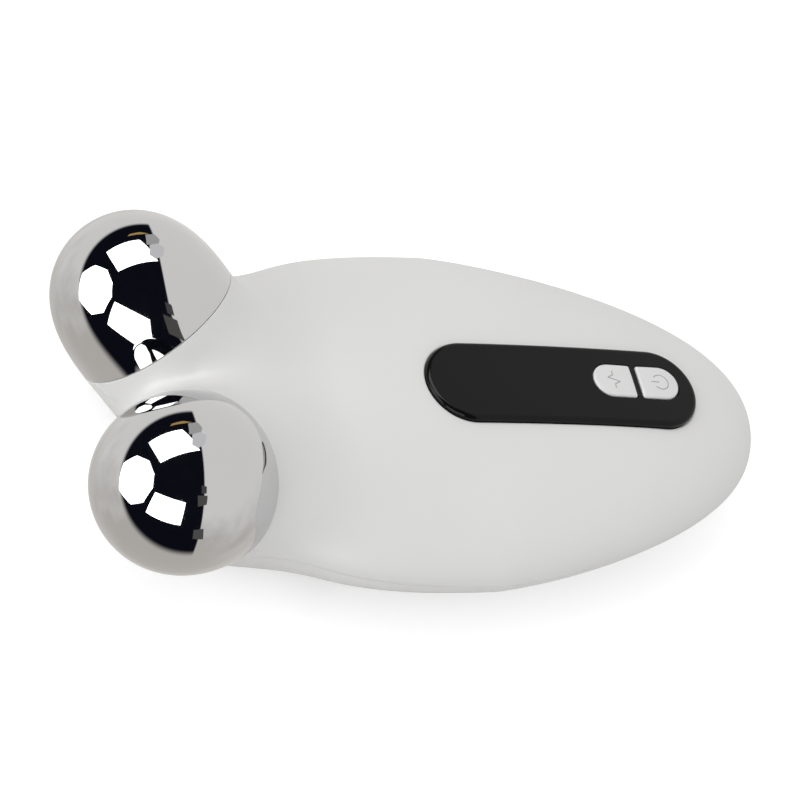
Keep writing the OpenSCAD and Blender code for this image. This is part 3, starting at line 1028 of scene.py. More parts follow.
# ---------------------------------------------------------------- the control panel's place


@dataclass(frozen=True)
class PanelPlace:
    """Where the control panel lies, and the outline and crown of the panel. Sizes in millimetres."""

    length: float = 61.4
    width: float = 18.6
    x: float = 81.2
    z: float = 13.2
    tilt: float = math.radians(2.63)
    crown: float = 0.75
    depth: float = 2.2
    bevel: float = 1.0
    bevel_drop: float = 0.8
    gap: float = 0.07
    search: Pair = (-8.0, 6.0)
    halvings: int = 40

    def to_housing(self, u: Points, v: Points, w: Points) -> Points:
        """Points of the panel's frame, along, across and square to it, in the housing's frame."""
        c, s = math.cos(self.tilt), math.sin(self.tilt)
        return np.stack(np.broadcast_arrays(self.x + u * c + w * s, v, self.z - u * s + w * c), -1)

    def to_panel(self, p: Points) -> Points:
        """Points of the housing's frame in the panel's.

        Args:
            p: Points in the housing's frame.

        Returns:
            The same points along, across and square to the panel.
        """
        c, s = math.cos(self.tilt), math.sin(self.tilt)
        x, z = p[..., 0] - self.x, p[..., 2] - self.z
        return np.stack([x * c - z * s, p[..., 1], x * s + z * c], -1)

    def ring(self, outline: Points, heights: Points | float) -> Points:
        """A ring of points over an outline in the panel's plane, in the housing's frame."""
        return self.to_housing(outline[:, 0], outline[:, 1], np.broadcast_to(heights, len(outline)))

    def crown_at(self, u: Points) -> Points:
        """Height of the curved top above its middle: a parabola along the panel."""
        return -self.crown * (2 * u / self.length) ** 2

    def edge_distance(self, u: Points, v: Points) -> Points:
        """Distance inwards from the panel's stadium outline."""
        over = np.maximum(np.abs(u) - (self.length - self.width) / 2, 0)
        return self.width / 2 - np.hypot(over, v)

    def top(self, u: Points, v: Points) -> Points:
        """Height of the panel's top: the crown less a quarter ellipse over the bevel at its edge."""
        inwards = np.clip(self.edge_distance(u, v) / self.bevel, 0, 1)
        return self.crown_at(u) - self.bevel_drop * (1 - np.sqrt(1 - (1 - inwards) ** 2))

    def skin_height(self, outline: Points) -> Points:
        """Height of the body's skin over the panel's plane, by halving along the plane's normal.

        Args:
            outline: Points in the panel's plane.

        Returns:
            The height over each point.
        """

        def inside(heights: Points) -> Points:
            """Which heights lie inside the body."""
            return FORM.value(self.ring(outline, heights)) < 0

        lowest, highest = (np.full(len(outline), end) for end in self.search)
        return halved(lowest, highest, inside, self.halvings)


PANEL = PanelPlace()


# ---------------------------------------------------------------- housing


@dataclass
class Housing:
    """The two mouldings, worked out as one skin and then parted, with rounded edges at every joint."""

    parting_edge: float = 0.17
    seam_edge: float = 0.12
    parting_gap: float = 0.03
    nose: int = 44
    rings: int = 170
    around: int = 192
    tip_gap: float = 0.01
    hollow_grid: tuple[int, int, int] = (12, 48, 64)
    tail_wall: float = 6.0
    seam_d: float = 10.0
    cut_past: float = 1.0
    screw_spots: tuple[Pair, ...] = ((30, 27), (30, -27), (100, 18), (100, -18))
    recess_d: float = 5.6
    boss_d: float = 8.4
    screw_seat: float = -5.0
    boss_top: float = -0.1
    below: float = -30.0
    socket_x: float = 118.5
    socket_z: float = 1.0
    socket_w: float = 9.6
    socket_h: float = 3.8
    socket_flare: tuple[Pair, ...] = ((126.9, 0.0), (127.3, 0.06), (127.7, 0.25), (128.1, 0.6), (138.0, 0.6))
    rows: tuple[float, ...] = (1.0, 0.8, 0.6, 0.42, 0.27, 0.14, 0.05)
    easing: tuple[Pair, ...] = ((0.0, -0.4), (0.03, -0.24), (0.1, -0.11), (0.24, -0.03), (0.45, 0.01))
    pocket_top: float = 6.0
    snap: float = 1e-4
    settling_rounds: int = 5
    longest_step: float = 0.5
    least_slope: float = 0.2
    on_skin_within: float = 0.02

    def cuts(self, half: Half) -> list[tuple[Points, Points, float]]:
        """A point, the outward direction and the edge's radius of the parting plane and of both seams.

        Args:
            half: The moulding.

        Returns:
            One row for each plane.
        """
        up = half.value * UP
        planes = [(self.parting_gap * up, -up, self.parting_edge)]
        planes += [(FORM.seam(side), FORM.axis(side), self.seam_edge) for side in Side]
        return planes

    def rounded(self, half: Half, p: Points) -> tuple[Points, Points, Points]:
        """The form's level that rounds the edges, with each point's exact normal.

        Near a plane the skin falls to e (sqrt(1 - v^2) - 1), a quarter circle of radius e, where v runs from
        0 to 1 over the last e millimetres. The normal turns from the form's to the plane's with it.

        Args:
            half: The moulding.
            p: Points on or near the skin.

        Returns:
            The level, the unit normals and the nearest plane's direction.
        """
        slope = unit(FORM.gradient(p))
        cuts = self.cuts(half)
        share = np.stack([(p - c) @ n / e + 1 for c, n, e in cuts], -1)
        near = share.argmax(-1)
        v = np.clip(share.max(-1), 0, 1)
        u = np.sqrt(1 - v**2)
        plane = np.array([n for _, n, _ in cuts])[near]
        e = np.array([e for _, _, e in cuts])[near]
        return e * (u - 1), unit(slope * u[..., None] + plane * v[..., None]), plane

    def settled(self, half: Half, p: Points) -> Points:
        """Points moved along the nearest plane until they lie on the rounded form, by Newton's method.

        Args:
            half: The moulding.
            p: Points near an edge.

        Returns:
            The moved points.
        """
        for _ in range(self.settling_rounds):
            level, _, plane = self.rounded(half, p)
            slope = FORM.gradient(p)
            along = slope - (slope * plane).sum(-1, keepdims=True) * plane
            rise = np.maximum((slope * along).sum(-1, keepdims=True), self.least_slope)
            step = (FORM.value(p) - level)[..., None] * along / rise
            p = p - np.clip(step, -self.longest_step, self.longest_step)
        return p

    def on_skin(self, half: Half, p: Points) -> tuple[Points, Points]:
        """Exact normals, and which points lie on the rounded skin."""
        level, normal, _ = self.rounded(half, p)
        return normal, np.abs(FORM.value(p) - level) < self.on_skin_within

    def slice(self, bm: bmesh.types.BMesh, centre: Points, way: Points, close: bool = False) -> None:
        """Cuts a closed mesh with a plane.

        Args:
            bm: The mesh.
            centre: A point on the plane.
            way: The plane's direction.
            close: Whether what lies beyond the plane goes, and a flat face closes the rest.
        """
        everything = bm.verts[:] + bm.edges[:] + bm.faces[:]
        bmesh.ops.bisect_plane(
            bm, geom=everything, dist=self.snap, plane_co=centre, plane_no=way, clear_outer=close
        )
        edges = [e for e in bm.edges if e.is_boundary] if close else []
        if edges:
            bmesh.ops.triangle_fill(bm, use_beauty=True, use_dissolve=False, edges=edges, normal=Vector(way))

    def blank(self, half: Half) -> bpy.types.Object:
        """One half of the skin, cut flat at its planes and closed there, with rows of points along each edge.

        Args:
            half: The moulding.

        Returns:
            Its closed object, still solid.
        """
        word = half.name.lower()
        cuts = self.cuts(half)
        points, faces = FORM.skin(0.0, self.nose, self.rings, self.around, FORM.body_len - self.tip_gap)
        made = mesh_object(f"{word}_housing", points, faces)
        with editing(made.data) as bm:
            for centre, way, edge in cuts:
                for share in self.rows:
                    self.slice(bm, centre - way * share * edge, way)
            for centre, way, _ in cuts:
                self.slice(bm, centre, way, close=True)
            face_outwards(bm)
            open_edges = sum(1 for e in bm.edges if not e.is_manifold)
        spots = point_array(made.data)
        depth = np.stack([(spots - c) @ n + e for c, n, e in cuts], -1).max(-1)
        near = (depth > 0) & (np.abs(FORM.value(spots)) < self.parting_edge)
        spots[near] = self.settled(half, spots[near])
        made.data.vertices.foreach_set("co", spots.ravel())
        made.data.update()
        LOG.info("%s half: %d open edges", word, open_edges)
        return made

    def cavity(self) -> bpy.types.Object:
        """The hollow: the same form a wall's thickness further in.

        Returns:
            Its closed object.
        """
        points, faces = FORM.skin(-FORM.wall, *self.hollow_grid, FORM.body_len - self.tail_wall)
        made = mesh_object("cavity", points, faces)
        with editing(made.data) as bm:
            for side in Side:
                n = FORM.axis(side)
                self.slice(bm, FORM.seam(side) - FORM.wall * n, n, close=True)
            face_outwards(bm)
        return made

    def axle_hole(self, side: Side) -> bpy.types.Object:
        """The hole through which an axle and its seal pass.

        Args:
            side: The ball's side.

        Returns:
            The hole as a closed solid.
        """
        n = FORM.axis(side)
        start = FORM.seam(side) - (FORM.wall + self.cut_past) * n
        return bar("axle_hole", start, n, FORM.wall + 3 * self.cut_past, self.seam_d / 2)

    def socket_hole(self) -> bpy.types.Object:
        """The opening for the charging socket, flared where it meets the skin.

        Returns:
            The opening as a closed solid.
        """
        outline = rounded_line(self.socket_w, self.socket_h)
        out = outward(outline)
        rings = []
        for x, grow in ((self.socket_x, 0.0), *self.socket_flare):
            y, z = (outline + grow * out).T
            rings.append(np.stack([np.full(len(y), x), y, z + self.socket_z], 1))
        return loft("socket_hole", rings)

    def pocket(self) -> bpy.types.Object:
        """The recess under the panel, with an edge that is eased where it meets the skin.

        Returns:
            The recess as a closed solid.
        """
        outline = rounded_line(PANEL.length + 2 * PANEL.gap, PANEL.width + 2 * PANEL.gap, round_points=40)
        out = outward(outline)
        rings = [PANEL.ring(outline, -PANEL.depth)]
        for grow, drop in self.easing:
            line = outline + grow * out
            rings.append(PANEL.ring(line, PANEL.skin_height(line) + drop))
        widest = outline + self.easing[-1][0] * out
        rings.append(PANEL.ring(widest, self.pocket_top))
        return loft("pocket", rings)

    def upright(self, spot: Pair, top: float, diameter: float) -> bpy.types.Object:
        """A round bar that stands at a screw's place, from below the body to a height."""
        return bar("upright", np.array([*spot, self.below]), UP, top - self.below, diameter / 2)

    def open_ends(self, made: bpy.types.Object) -> None:
        """Cuts the holes that both mouldings share: for the axles and for the charging socket.

        Args:
            made: The moulding's object.
        """
        for side in Side:
            carve(made, self.axle_hole(side))
        carve(made, self.socket_hole())

    def upper(self) -> bpy.types.Object:
        """The upper half, with the panel's pocket.

        Returns:
            Its object.
        """
        made = self.blank(Half.UPPER)
        carve(made, self.cavity())
        carve(made, self.pocket())
        self.open_ends(made)
        return made

    def lower(self) -> bpy.types.Object:
        """The lower half, with its screw bosses and their recesses.

        Returns:
            Its object.
        """
        made = self.blank(Half.LOWER)
        hollow = self.cavity()
        for spot in self.screw_spots:
            carve(hollow, self.upright(spot, self.boss_top, self.boss_d))
        carve(made, hollow)
        for spot in self.screw_spots:
            carve(made, self.upright(spot, self.screw_seat, self.recess_d))
        self.open_ends(made)
        return made

    def build(self) -> None:
        """Makes, shades and places both halves."""
        for half, make in ((Half.UPPER, self.upper), (Half.LOWER, self.lower)):
            made = make()
            set_normals(made, partial(self.on_skin, half))
            add_piece(made, "housing", "body_white", BODY_WHITE, f"{half.name.lower()}_shell")


# ---------------------------------------------------------------- control panel and buttons


@dataclass
class ButtonPair:
    """The two buttons either side of a bar in the panel, with their symbols. Sizes in millimetres.

    A button's own coordinates run from the bar to its round far end, and across it.
    """

    length: float = 19.9
    at: float = 16.7
    side: float = 1.0
    width: float = 7.8
    gap_bar: float = 1.4
    proud: float = 0.35
    corner: float = 0.5
    gap: float = 0.2
    dome: float = 0.12
    edge: float = 0.45
    foot: float = 1.6
    shoulder: float = -1.4
    sharp: float = math.radians(40)
    far_points: int = 40
    corner_points: int = 8
    side_points: int = 12
    bar_points: int = 14
    edge_rings: int = 8
    face_rings: int = 14
    pulse: tuple[Pair, ...] = ((0.0, -2.1), (0.0, -1.1), (1.35, -0.45), (-1.35, 0.45), (0.0, 1.1), (0.0, 2.1))
    pulse_shift: float = 0.15
    power_r: float = 1.75
    power_gap: float = math.radians(38)
    power_points: int = 56
    power_bar: Pair = (-2.25, -0.35)
    power_shift: float = 0.35
    stroke: float = 0.28
    ink: float = 0.012
    sunk: float = 0.02
    ink_step: float = 0.12
    ink_shares: tuple[float, ...] = (-0.5, -0.38, 0.0, 0.38, 0.5)

    @property
    def button_len(self) -> float:
        """Length of one button."""
        return (self.length - self.gap_bar) / 2

    @property
    def middle(self) -> Points:
        """Middle of a button's face, in its own coordinates."""
        return np.array([self.button_len / 2, 0.0])

    def outline(self, grow: float = 0.0) -> Points:
        """A button's outline from the bar: two small corners and a round far end, anticlockwise.

        Args:
            grow: How far outside the button's own edge it runs.

        Returns:
            The outline's points.
        """
        r, c, length = self.width / 2, self.corner, self.button_len
        far = np.linspace(-QUARTER, QUARTER, self.far_points)
        near = np.linspace(QUARTER, math.pi, self.corner_points)
        head = np.stack([length - r + r * np.cos(far), r * np.sin(far)], 1)
        side = np.stack([between(length - r, c, self.side_points), np.full(self.side_points, r)], 1)
        corner = np.stack([c + c * np.cos(near), r - c + c * np.sin(near)], 1)
        flat = np.stack([np.zeros(self.bar_points), between(r - c, c - r, self.bar_points)], 1)
        low_corner, low_side = corner[::-1] * [1, -1], side[::-1] * [1, -1]
        line = np.concatenate([head, side, corner, flat, low_corner, low_side])
        return line + grow * outward(line)

    def to_panel(self, key: Key, line: Points) -> Points:
        """A button's own coordinates as the panel's: mirrored for the button on the head's side."""
        u = self.at + key.value * (self.gap_bar / 2 + line[..., 0])
        return np.stack([u, self.side + line[..., 1]], -1)

    def face(self, line: Points) -> Points:
        """Height of a button's face over the panel's top: a low dome that falls with the squared distance."""
        reach = ((line - self.middle) / [self.button_len / 2, self.width / 2]) ** 2
        return self.proud + self.dome * (0.5 - reach.sum(-1))

    def height(self, key: Key, line: Points) -> Points:
        """Height of a button's face over the panel's plane."""
        return PANEL.crown_at(self.to_panel(key, line)[..., 0]) + self.face(line)

    def ring(self, key: Key, line: Points, heights: Points | float) -> Points:
        """A ring of a button in the housing's frame."""
        return PANEL.ring(self.to_panel(key, line), heights)

    def cap(self, key: Key) -> bpy.types.Object:
        """One button: straight sides, an edge rounded by a quarter circle and a low dome, ring by ring.

        Args:
            key: The button.

        Returns:
            Its object.
        """
        line, mid = self.outline(), self.middle
        inwards = self.edge * outward(line)
        rings = [self.ring(key, line, -PANEL.depth - self.foot), self.ring(key, line, self.shoulder)]
        for turn in np.linspace(0, QUARTER, self.edge_rings):
            flat = line - (1 - math.cos(turn)) * inwards
            rings.append(self.ring(key, flat, self.height(key, flat) - self.edge * (1 - math.sin(turn))))
        for share in between(1, 0, self.face_rings):
            flat = mid + (line - inwards - mid) * share
            rings.append(self.ring(key, flat, self.height(key, flat)))
        count = len(line)
        points = np.concatenate([*rings, self.ring(key, mid[None], self.height(key, mid[None]))])
        flip = key is Key.MODE
        faces = [tuple(q if flip else q[::-1]) for q in grid_quads(len(rings), count)]
        last = (len(rings) - 1) * count
        faces += fan(len(points) - 1, list(range(last, last + count)), flip=flip)
        bottom = tuple(range(count))
        faces.append(bottom if flip else bottom[::-1])
        made = mesh_object(f"{key.name.lower()}_button_cap", points, faces)
        made.data.shade_smooth()
        made.data.set_sharp_from_angle(angle=self.sharp)
        return made

    def strokes(self, key: Key) -> list[Points]:
        """Centre lines of a button's symbol in the panel's own directions: a pulse wave or a power mark.

        Args:
            key: The button.

        Returns:
            The points of each stroke.
        """
        if key is Key.MODE:
            return [np.array(self.pulse)]
        turn = np.linspace(self.power_gap, math.tau - self.power_gap, self.power_points)
        circle = self.power_r * np.stack([-np.cos(turn), np.sin(turn)], 1)
        return [circle, np.array([[end, 0.0] for end in self.power_bar])]

    def resampled(self, path: Points) -> Points:
        """A path with even points along it, and its corners kept nearly sharp.

        Args:
            path: The path's corners.

        Returns:
            The even points.
        """
        length = np.concatenate([[0], np.cumsum(np.linalg.norm(np.diff(path, axis=0), axis=1))])
        even = np.linspace(0, length[-1], max(int(length[-1] / self.ink_step), 2))
        return np.stack([np.interp(even, length, path[:, k]) for k in range(2)], 1)

    @staticmethod
    def ribbon_faces(rows: int, columns: int, start: int) -> Faces:
        """Faces of a closed ribbon kept row by row: its top, its two ends and its underside.

        Args:
            rows: Rows of points along the ribbon.
            columns: Points across it.
            start: Number of the first point.

        Returns:
            The faces.
        """
        faces = [tuple(q) for q in grid_quads(rows, columns, wrap=False, start=start)]
        first = list(range(start, start + columns))
        last = [n + (rows - 1) * columns for n in first]
        faces += [tuple(first), tuple(last[::-1])]
        edges = [start + columns * i for i in range(rows - 1)]
        return faces + [(e + columns - 1, e + 2 * columns - 1, e + columns, e) for e in edges]

    def symbol(self, key: Key) -> bpy.types.Object:
        """A button's symbol as ribbons of ink that follow its face.

        Args:
            key: The button.

        Returns:
            Its object.
        """
        centre = self.middle + [self.power_shift if key is Key.POWER else self.pulse_shift, 0.0]
        columns = len(self.ink_shares)
        lift = np.full(columns, self.ink)
        lift[[0, -1]] = -self.sunk
        points: list[Points] = []
        faces: Faces = []
        for path in self.strokes(key):
            dense = self.resampled(path)
            way = unit(np.gradient(dense, axis=0))
            across = np.stack([-way[:, 1], way[:, 0]], 1)
            offsets = np.array(self.ink_shares) * self.stroke
            flat = dense[:, None] + across[:, None] * offsets[None, :, None]
            flat = flat * [key.value, 1.0] + centre
            u, v = np.moveaxis(self.to_panel(key, flat), -1, 0)
            faces += self.ribbon_faces(len(dense), columns, start=sum(len(p) for p in points))
            points.append(PANEL.to_housing(u, v, self.height(key, flat) + lift).reshape(-1, 3))
        made = mesh_object(f"{key.name.lower()}_symbol", np.concatenate(points), faces)
        with editing(made.data) as bm:
            face_outwards(bm)
        return made

    def build(self) -> None:
        """Makes both buttons and their symbols."""
        for key in Key:
            word = key.name.lower()
            add_piece(self.cap(key), f"{word}_key", "button_grey", BUTTON_WHITE, f"{word}_button")
            add_piece(self.symbol(key), f"{word}_key", "inner_grey", SYMBOL_GREY)


@dataclass
class ControlPanel:
    """The crowned black panel with the two openings for the buttons. Sizes in millimetres."""

    buttons: ButtonPair
    round_points: int = 48
    edge_rings: int = 12
    edge_share: float = 0.11
    inner_rings: int = 31
    easing: tuple[Pair, ...] = ((0.0, -0.12), (0.03, -0.05), (0.12, 0.01), (0.12, 3.0))
    cut_past: float = 1.0
    on_top_within: float = 0.004
    edge_left: float = 0.02

    def slab(self) -> bpy.types.Object:
        """The panel as rings drawn from its outline to its middle line, over straight sides and a flat back.

        Returns:
            Its closed object.
        """
        outline = rounded_line(PANEL.length, PANEL.width, self.round_points)
        straight = (PANEL.length - PANEL.width) / 2
        spine = np.stack([np.clip(outline[:, 0], -straight, straight), np.zeros(len(outline))], 1)
        edge = (1 - np.cos(np.linspace(0, QUARTER, self.edge_rings))) * PANEL.bevel / (PANEL.width / 2)
        rings = [PANEL.ring(outline, -PANEL.depth)]
        for share in np.concatenate([edge, between(self.edge_share, 1, self.inner_rings)]):
            flat = outline + (spine - outline) * share
            rings.append(PANEL.ring(flat, PANEL.top(flat[:, 0], flat[:, 1])))
        made = loft("black_panel", rings)
        with editing(made.data) as bm:
            bmesh.ops.triangulate(bm, faces=[f for f in bm.faces if len(f.verts) > 4])
        return made

    def opening(self, key: Key) -> bpy.types.Object:
        """The opening for a button, eased where it meets the panel's top.

        Args:
            key: The button.

        Returns:
            The opening as a closed solid.
        """
        pair = self.buttons
        line = pair.outline(pair.gap)
        out = outward(line)
        rings = [pair.ring(key, line, -PANEL.depth - self.cut_past)]
        for grow, drop in self.easing:
            flat = line + grow * out
            rings.append(pair.ring(key, flat, PANEL.crown_at(pair.to_panel(key, flat)[:, 0]) + drop))
        if key is Key.MODE:
            rings = [r[::-1] for r in rings]
        return loft("button_opening", rings)

    def on_top(self, p: Points) -> tuple[Points, Points]:
        """Exact normals on the panel's top, from the slope of its height, and which points lie on it.

        Args:
            p: Points in the housing's frame.

        Returns:
            The unit normals, and whether each point lies on the top.
        """
        u, v, w = PANEL.to_panel(p).T
        slope_u = (PANEL.top(u + STEP, v) - PANEL.top(u - STEP, v)) / (2 * STEP)
        slope_v = (PANEL.top(u, v + STEP) - PANEL.top(u, v - STEP)) / (2 * STEP)
        c, s = math.cos(PANEL.tilt), math.sin(PANEL.tilt)
        along, across, square = unit(np.stack([-slope_u, -slope_v, np.ones(len(u))], -1)).T
        normal = np.stack([along * c + square * s, across, square * c - along * s], -1)
        near = np.abs(w - PANEL.top(u, v)) < self.on_top_within
        return normal, near & (PANEL.edge_distance(u, v) > self.edge_left)

    def build(self) -> None:
        """Makes, shades and places the panel."""
        made = self.slab()
        for key in Key:
            carve(made, self.opening(key))
        set_normals(made, self.on_top)
        add_piece(made, "housing", "panel_black", PANEL_BLACK, "control_panel")


# ---------------------------------------------------------------- balls


@dataclass
class Roller:
    """A chrome ball: a hollow dome turned about its axis, with a rounded rim. Sizes in millimetres."""

    side: Side
    seam_gap: float = 0.14
    wall: float = 1.5
    rim: float = 0.12
    lip: float = 0.1
    hollow_start: float = 3.4
    around: int = 256
    rings: int = 110
    rim_rings: int = 6
    hollow_rings: int = 22
    on_dome_within: float = 0.01
    slack: float = 1e-4

    @property
    def dome_start(self) -> float:
        """Where the dome begins, above the rounded rim."""
        return self.seam_gap + self.rim

    def profile(self) -> tuple[Points, Points]:
        """Radius and place along the axis, from the outer tip over the rim to the inner tip.

        The places on the dome are spaced by a cosine, and those in the hollow by a sine, so that rings
        crowd at the tips. The rim is a quarter circle.

        Returns:
            The radii and the places.
        """
        start, inner_r = self.dome_start, FORM.ball_d / 2 - self.wall
        turn = np.linspace(0, QUARTER, self.rings)[1:]
        s = start + (FORM.ball_len - start) * np.cos(turn)
        outer = np.stack([FORM.dome(s), s], 1)
        bend = np.linspace(0, QUARTER, self.rim_rings + 1)[1:]
        edge = np.stack([FORM.ball_d / 2 - self.rim * (1 - np.cos(bend)), start - self.rim * np.sin(bend)], 1)
        lip_foot = [inner_r + self.lip, self.seam_gap]
        lip = np.array([lip_foot, [inner_r, self.seam_gap + self.lip], [inner_r, self.hollow_start]])
        t = np.sin(between(0, QUARTER, self.hollow_rings))
        hollow_r = inner_r * np.maximum(1 - t**FORM.dome_p, 0) ** (1 / FORM.dome_q)
        hollow_s = self.hollow_start + (FORM.ball_len - self.wall - self.hollow_start) * t
        line = np.concatenate([outer, edge, lip, np.stack([hollow_r, hollow_s], 1)])
        return line[:, 0], line[:, 1]

    def on_dome(self, p: Points) -> tuple[Points, Points]:
        """Exact normals on the dome, from the slope of its radius, and which points lie on it.

        Args:
            p: Points in the housing's frame.

        Returns:
            The unit normals, and whether each point lies on the dome.
        """
        n = FORM.axis(self.side)
        d = p - FORM.seam(self.side)
        s = d @ n
        off = d - s[:, None] * n
        r = np.linalg.norm(off, axis=1)
        low, high = np.clip(s - STEP, 0, FORM.ball_len), np.clip(s + STEP, 0, FORM.ball_len)
        slope = (FORM.dome(high) - FORM.dome(low)) / np.maximum(high - low, TINY)
        normal = unit(off / np.maximum(r, TINY)[:, None] - slope[:, None] * n)
        normal = np.where((r < STEP)[:, None], n, normal)
        near = np.abs(r - FORM.dome(np.clip(s, 0, FORM.ball_len))) < self.on_dome_within
        return normal, near & (s >= self.dome_start - self.slack)

    def build(self) -> None:
        """Makes, shades and places the ball."""
        r, s = self.profile()
        n = FORM.axis(self.side)
        u = unit(np.cross(n, UP))
        v = np.cross(n, u)
        turn = np.linspace(0, math.tau, self.around, endpoint=False)
        spoke = np.cos(turn)[:, None] * u + np.sin(turn)[:, None] * v
        points = FORM.seam(self.side) + s[:, None, None] * n + r[:, None, None] * spoke
        tips = FORM.seam(self.side) + np.array([FORM.ball_len, FORM.ball_len - self.wall])[:, None] * n
        count = len(r) * self.around
        faces = [tuple(q) for q in grid_quads(len(r), self.around)]
        faces += fan(count, list(range(self.around)))
        faces += fan(count + 1, list(range(count - self.around, count)), flip=True)
        word = self.side.name.lower()
        made = mesh_object(f"{word}_chrome_ball", np.concatenate([points.reshape(-1, 3), tips]), faces)
        set_normals(made, self.on_dome)
        add_piece(made, f"{word}_roller", "ball_chrome", BALL_CHROME, f"{word}_ball")


# ---------------------------------------------------------------- studio


@dataclass(frozen=True)
class Card:
    """A bright flat shape that only mirrors see.

    Its corners are pairs of azimuth and elevation as the object sees them, in degrees, and its distance is
    that of its middle, in metres.
    """

    name: str
    colour: Colour
    corners: tuple[Pair, ...]
    distance: float = 2.4
    strength: float = 1.65

    def build(self) -> None:
        """Makes the card and its glow: each corner lies where its direction meets the card's plane."""
        azimuth, elevation = np.radians(np.array(self.corners)).T
        flat = np.cos(elevation)
        ways = np.stack([np.cos(azimuth) * flat, np.sin(azimuth) * flat, np.sin(elevation)], 1)
        middle = unit(ways.mean(0))
        points = ways * (self.distance / (ways @ middle))[:, None]
        made = mesh_object(self.name + "_card", points, [tuple(range(len(points)))])
        tree = Tree(self.name + "_card")
        tree.set(
            Base_Color=(0.0, 0.0, 0.0, 1.0),
            Emission_Color=(*self.colour, 1.0),
            Emission_Strength=self.strength,
            Specular_IOR_Level=0.0,
        )
        made.data.materials.append(tree.material)
        made.visible_camera = made.visible_diffuse = made.visible_shadow = False


@dataclass(frozen=True)
class Lamp:
    """A square soft lamp that points at the object and isn't mirrored in it. In metres and watts."""

    name: str
    place: Triple
    size: float
    power: float
    aim: Triple = (0.0, 0.0, 0.02)

    def build(self) -> None:
        """Makes the lamp and turns it towards its aim."""
        data = bpy.data.lights.new(self.name, "AREA")
        data.shape, data.size, data.energy = "SQUARE", self.size, self.power
        made = bpy.data.objects.new(self.name, data)
        made.location = self.place
        made.rotation_euler = (Vector(self.aim) - Vector(self.place)).to_track_quat("-Z", "Y").to_euler()
        made.visible_glossy = False
        bpy.context.scene.collection.objects.link(made)


@dataclass(frozen=True)
class Surround:
    """The world: white to the camera, an even soft light to matt surfaces, and a room to mirrors.

    To mirrors it is a pale wall that darkens towards the table, with a dark room in it. The room is where the
    direction's x is below wall_side and its z is above the table's plane, whose height is a x + b y + c.
    """

    ambient: float = 0.85
    wall: Colour = (0.87, 0.86, 0.845)
    table: Colour = (0.62, 0.597, 0.56)
    wall_way: Triple = (0.15, 0.4, 1.0)
    wall_fade: Pair = (-0.95, 0.15)
    cloud_scale: float = 2.2
    cloud_depth: float = 1.4
    dark_room: Colour = (0.005, 0.0055, 0.010)
    wall_side: float = 0.28
    side_blur: float = 0.015
    table_plane: Triple = (-0.043, 0.538, -0.202)
    table_blur: Pair = (-0.05, 0.07)
    near_blur: float = 0.2

    def room_share(self, tree: Layout, direction: Socket) -> Socket:
        """Share of the dark room in each direction, with edges that are softer where the room is near.

        Args:
            tree: The world's nodes.
            direction: The direction's socket.

        Returns:
            The share, from 0 to 1.
        """
        split = tree.add("ShaderNodeSeparateXYZ")
        tree.put(split, {0: direction})
        x, y, z = split.outputs
        a, b, c = self.table_plane
        slope = tree.combine("MULTIPLY_ADD", y, b, tree.combine("MULTIPLY_ADD", x, a, c))
        start, end = self.table_blur
        soft_start = tree.combine("MULTIPLY_ADD", tree.combine("MINIMUM", y, 0.0), self.near_blur, start)
        above = tree.step(tree.combine("SUBTRACT", z, slope), soft_start, end)
        aside = tree.step(x, self.wall_side + self.side_blur, self.wall_side - self.side_blur)
        return tree.combine("MULTIPLY", above, aside)

    def wall_share(self, tree: Layout, direction: Socket) -> Socket:
        """Share of the wall over the table in each direction: its height along wall_way, and a soft noise.

        Args:
            tree: The world's nodes.
            direction: The direction's socket.

        Returns:
            The share, from 0 to 1.
        """
        upward = tree.add("ShaderNodeVectorMath", operation="DOT_PRODUCT")
        tree.put(upward, {0: direction, 1: self.wall_way})
        cloud = tree.add("ShaderNodeTexNoise")
        tree.put(cloud, {"Vector": direction, "Scale": self.cloud_scale})
        drift = tree.combine("MULTIPLY_ADD", cloud.outputs["Fac"], self.cloud_depth, -self.cloud_depth / 2)
        return tree.step(tree.combine("ADD", upward.outputs["Value"], drift), *self.wall_fade)

    def build(self) -> None:
        """Lays out the world's nodes."""
        world = bpy.data.worlds.new("studio")
        world.use_nodes = True
        tree = Layout(world.node_tree)
        direction = tree.add("ShaderNodeTexCoord").outputs["Generated"]
        room = self.room_share(tree, direction)
        pale = tree.tint(self.wall_share(tree, direction), self.table, self.wall)
        shown = tree.tint(room, pale, self.dark_room)
        white = (1.0, 1.0, 1.0, 1.0)
        path = tree.add("ShaderNodeLightPath")
        output = tree.add("ShaderNodeOutputWorld")
        matt, mirror, camera = (tree.add("ShaderNodeBackground") for _ in range(3))
        tree.put(matt, {"Color": white, "Strength": self.ambient})
        tree.put(mirror, {"Color": shown, "Strength": 1.0})
        tree.put(camera, {"Color": white, "Strength": 1.0})
        first, second = (tree.add("ShaderNodeMixShader") for _ in range(2))
        tree.put(first, {0: path.outputs["Is Glossy Ray"], 1: matt.outputs[0], 2: mirror.outputs[0]})
        tree.put(second, {0: path.outputs["Is Camera Ray"], 1: first.outputs[0], 2: camera.outputs[0]})
        tree.put(output, {"Surface": second.outputs[0]})
        bpy.context.scene.world = world


